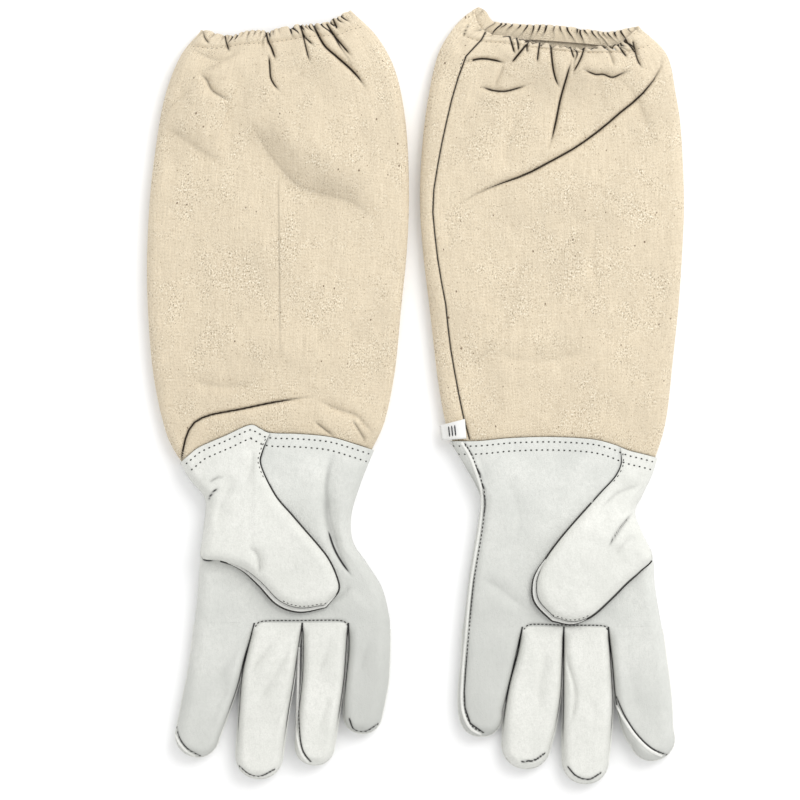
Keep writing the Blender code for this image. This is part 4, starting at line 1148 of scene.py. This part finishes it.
def add_seams(glove, below):
    """The stitched seams that show on the fingers, some with a welt beside them."""
    for name, line, side in glove["seams"]:
        sewn = [add_stitches(f"{name}_seam_stitches", glove, line, below, THREAD, 2.4, 1.6, 0.38)]
        if side:
            path = spline(line, max(12, int(abs(line[0][1] - line[-1][1]) / 1.5)))[:, :2]
            away = across_of(path) * side
            places, outward = [], []
            for (x, y), out in zip(path + away * 1.5, away):
                hit, _ = drop(below, glove, x, y)
                if hit is not None:
                    places.append((x, y, hit.z / MM))
                    outward.append(out)
            section = [(-1.0, -0.8), (-0.95, 0.25), (-0.3, 0.6), (0.4, 0.5), (0.95, 0.0), (1.0, -0.8)]
            sewn.append(add_strip(f"{name}_seam_welt", glove, places, outward, section, WELT))
        for piece in sewn:
            bend_at_knuckle(piece)


def add_hem_stitches(glove, below):
    points, _, _ = sleeve_points(glove, [HEM / SLEEVE_LENGTH], np.linspace(0.04, 0.96, 60), True)
    stitches = add_stitches("hem_stitches", glove, points[0][:, :2], below, PALE_THREAD, 2.8, 1.2, 0.24)
    settle(stitches, glove, "thread", "hem_thread")


def add_size_tag(glove):
    """A folded label held in the seam, with plain bars in place of print."""
    corners = np.array([(54.5, -14.5), (70, -18.5), (68.8, -27.8), (53.5, -26.6)])
    held, loose = HAND_HEIGHT + 1.6, 9.0
    rows = []
    for t in np.linspace(0, 1, 9):
        near, far = corners[0] * (1 - t) + corners[3] * t, corners[1] * (1 - t) + corners[2] * t
        row = []
        for s in np.linspace(0, 1, 13):
            x, y = near * (1 - s) + far * s
            z = held * (1 - s) + loose * s + 2.6 * math.sin(math.pi * min(1, s * 1.1)) * (1 - 0.3 * s)
            row.append((x, y, z))
        rows.append(row)
    points = np.array(rows)
    tag = add_grid("tag_label", glove, points, points, TAG)
    solid = tag.modifiers.new("Folded", "SOLIDIFY")
    solid.thickness = 0.6 * MM
    settle(tag, glove, "tag", "size_tag")
    tree = ground(tag)
    for k, s in enumerate((0.42, 0.54, 0.66)):
        near, far = corners[0] * (1 - s) + corners[1] * s, corners[3] * (1 - s) + corners[2] * s
        line = [near * 0.66 + far * 0.34, (near + far) / 2, near * 0.34 + far * 0.66]
        settle(add_stitches(f"tag_bar_{k + 1}", glove, line, tree, INK, 1.6, 3.2, 0.42), glove, "tag")


# ---- the pair

for glove in GLOVES.values():
    sleeve = add_sleeve(glove)
    palm = add_hand(glove)
    wing = add_thumb(glove)
    fronts = [add_finger(glove, name) for name in FINGERS]
    leather = ground(palm, wing, *fronts)
    add_cuff_stitches(glove, leather)
    add_seams(glove, leather)
    add_hem_stitches(glove, ground(sleeve))
    add_sleeve_seam(glove, sleeve, ground(sleeve, palm))
add_size_tag(GLOVES["left"])


# ---- floor, light and camera

def add_floor():
    mesh = bpy.data.meshes.new("floor")
    size = 3.0
    corners = [(-size, -size, 0), (size, -size, 0), (size, size, 0), (-size, size, 0)]
    mesh.from_pydata(corners, [], [(0, 1, 2, 3)])
    paper = Finish("white_paper", 0.9, specular=0.1).done((0.96, 0.96, 0.96, 1))
    add_object("floor", mesh, paper)


def add_light(name, place, size, power):
    data = bpy.data.lights.new(name, "AREA")
    data.size = size
    data.energy = power
    light = bpy.data.objects.new(name, data)
    light.location = place
    light.rotation_euler = (-Vector(place)).to_track_quat("-Z", "Y").to_euler()
    bpy.context.scene.collection.objects.link(light)


def add_world(strength):
    world = bpy.data.worlds.new("studio")
    world.use_nodes = True
    light = world.node_tree.nodes["Background"]
    light.inputs["Color"].default_value = (1, 1, 1, 1)
    light.inputs["Strength"].default_value = strength
    bpy.context.scene.world = world


def add_camera():
    data = bpy.data.cameras.new("camera")
    data.sensor_width = 36
    distance, width, mid_height = 3.0, 0.496, 0.008
    data.lens = data.sensor_width * (distance - mid_height) / width
    data.clip_end = 20
    camera = bpy.data.objects.new("camera", data)
    camera.location = (-0.0096, -0.0028, distance)
    bpy.context.scene.collection.objects.link(camera)
    bpy.context.scene.camera = camera


add_floor()
add_light("key", (1.1, 1.2, 1.7), 1.5, 30)
add_world(0.93)
add_camera()
bpy.context.scene.view_settings.view_transform = "Standard"
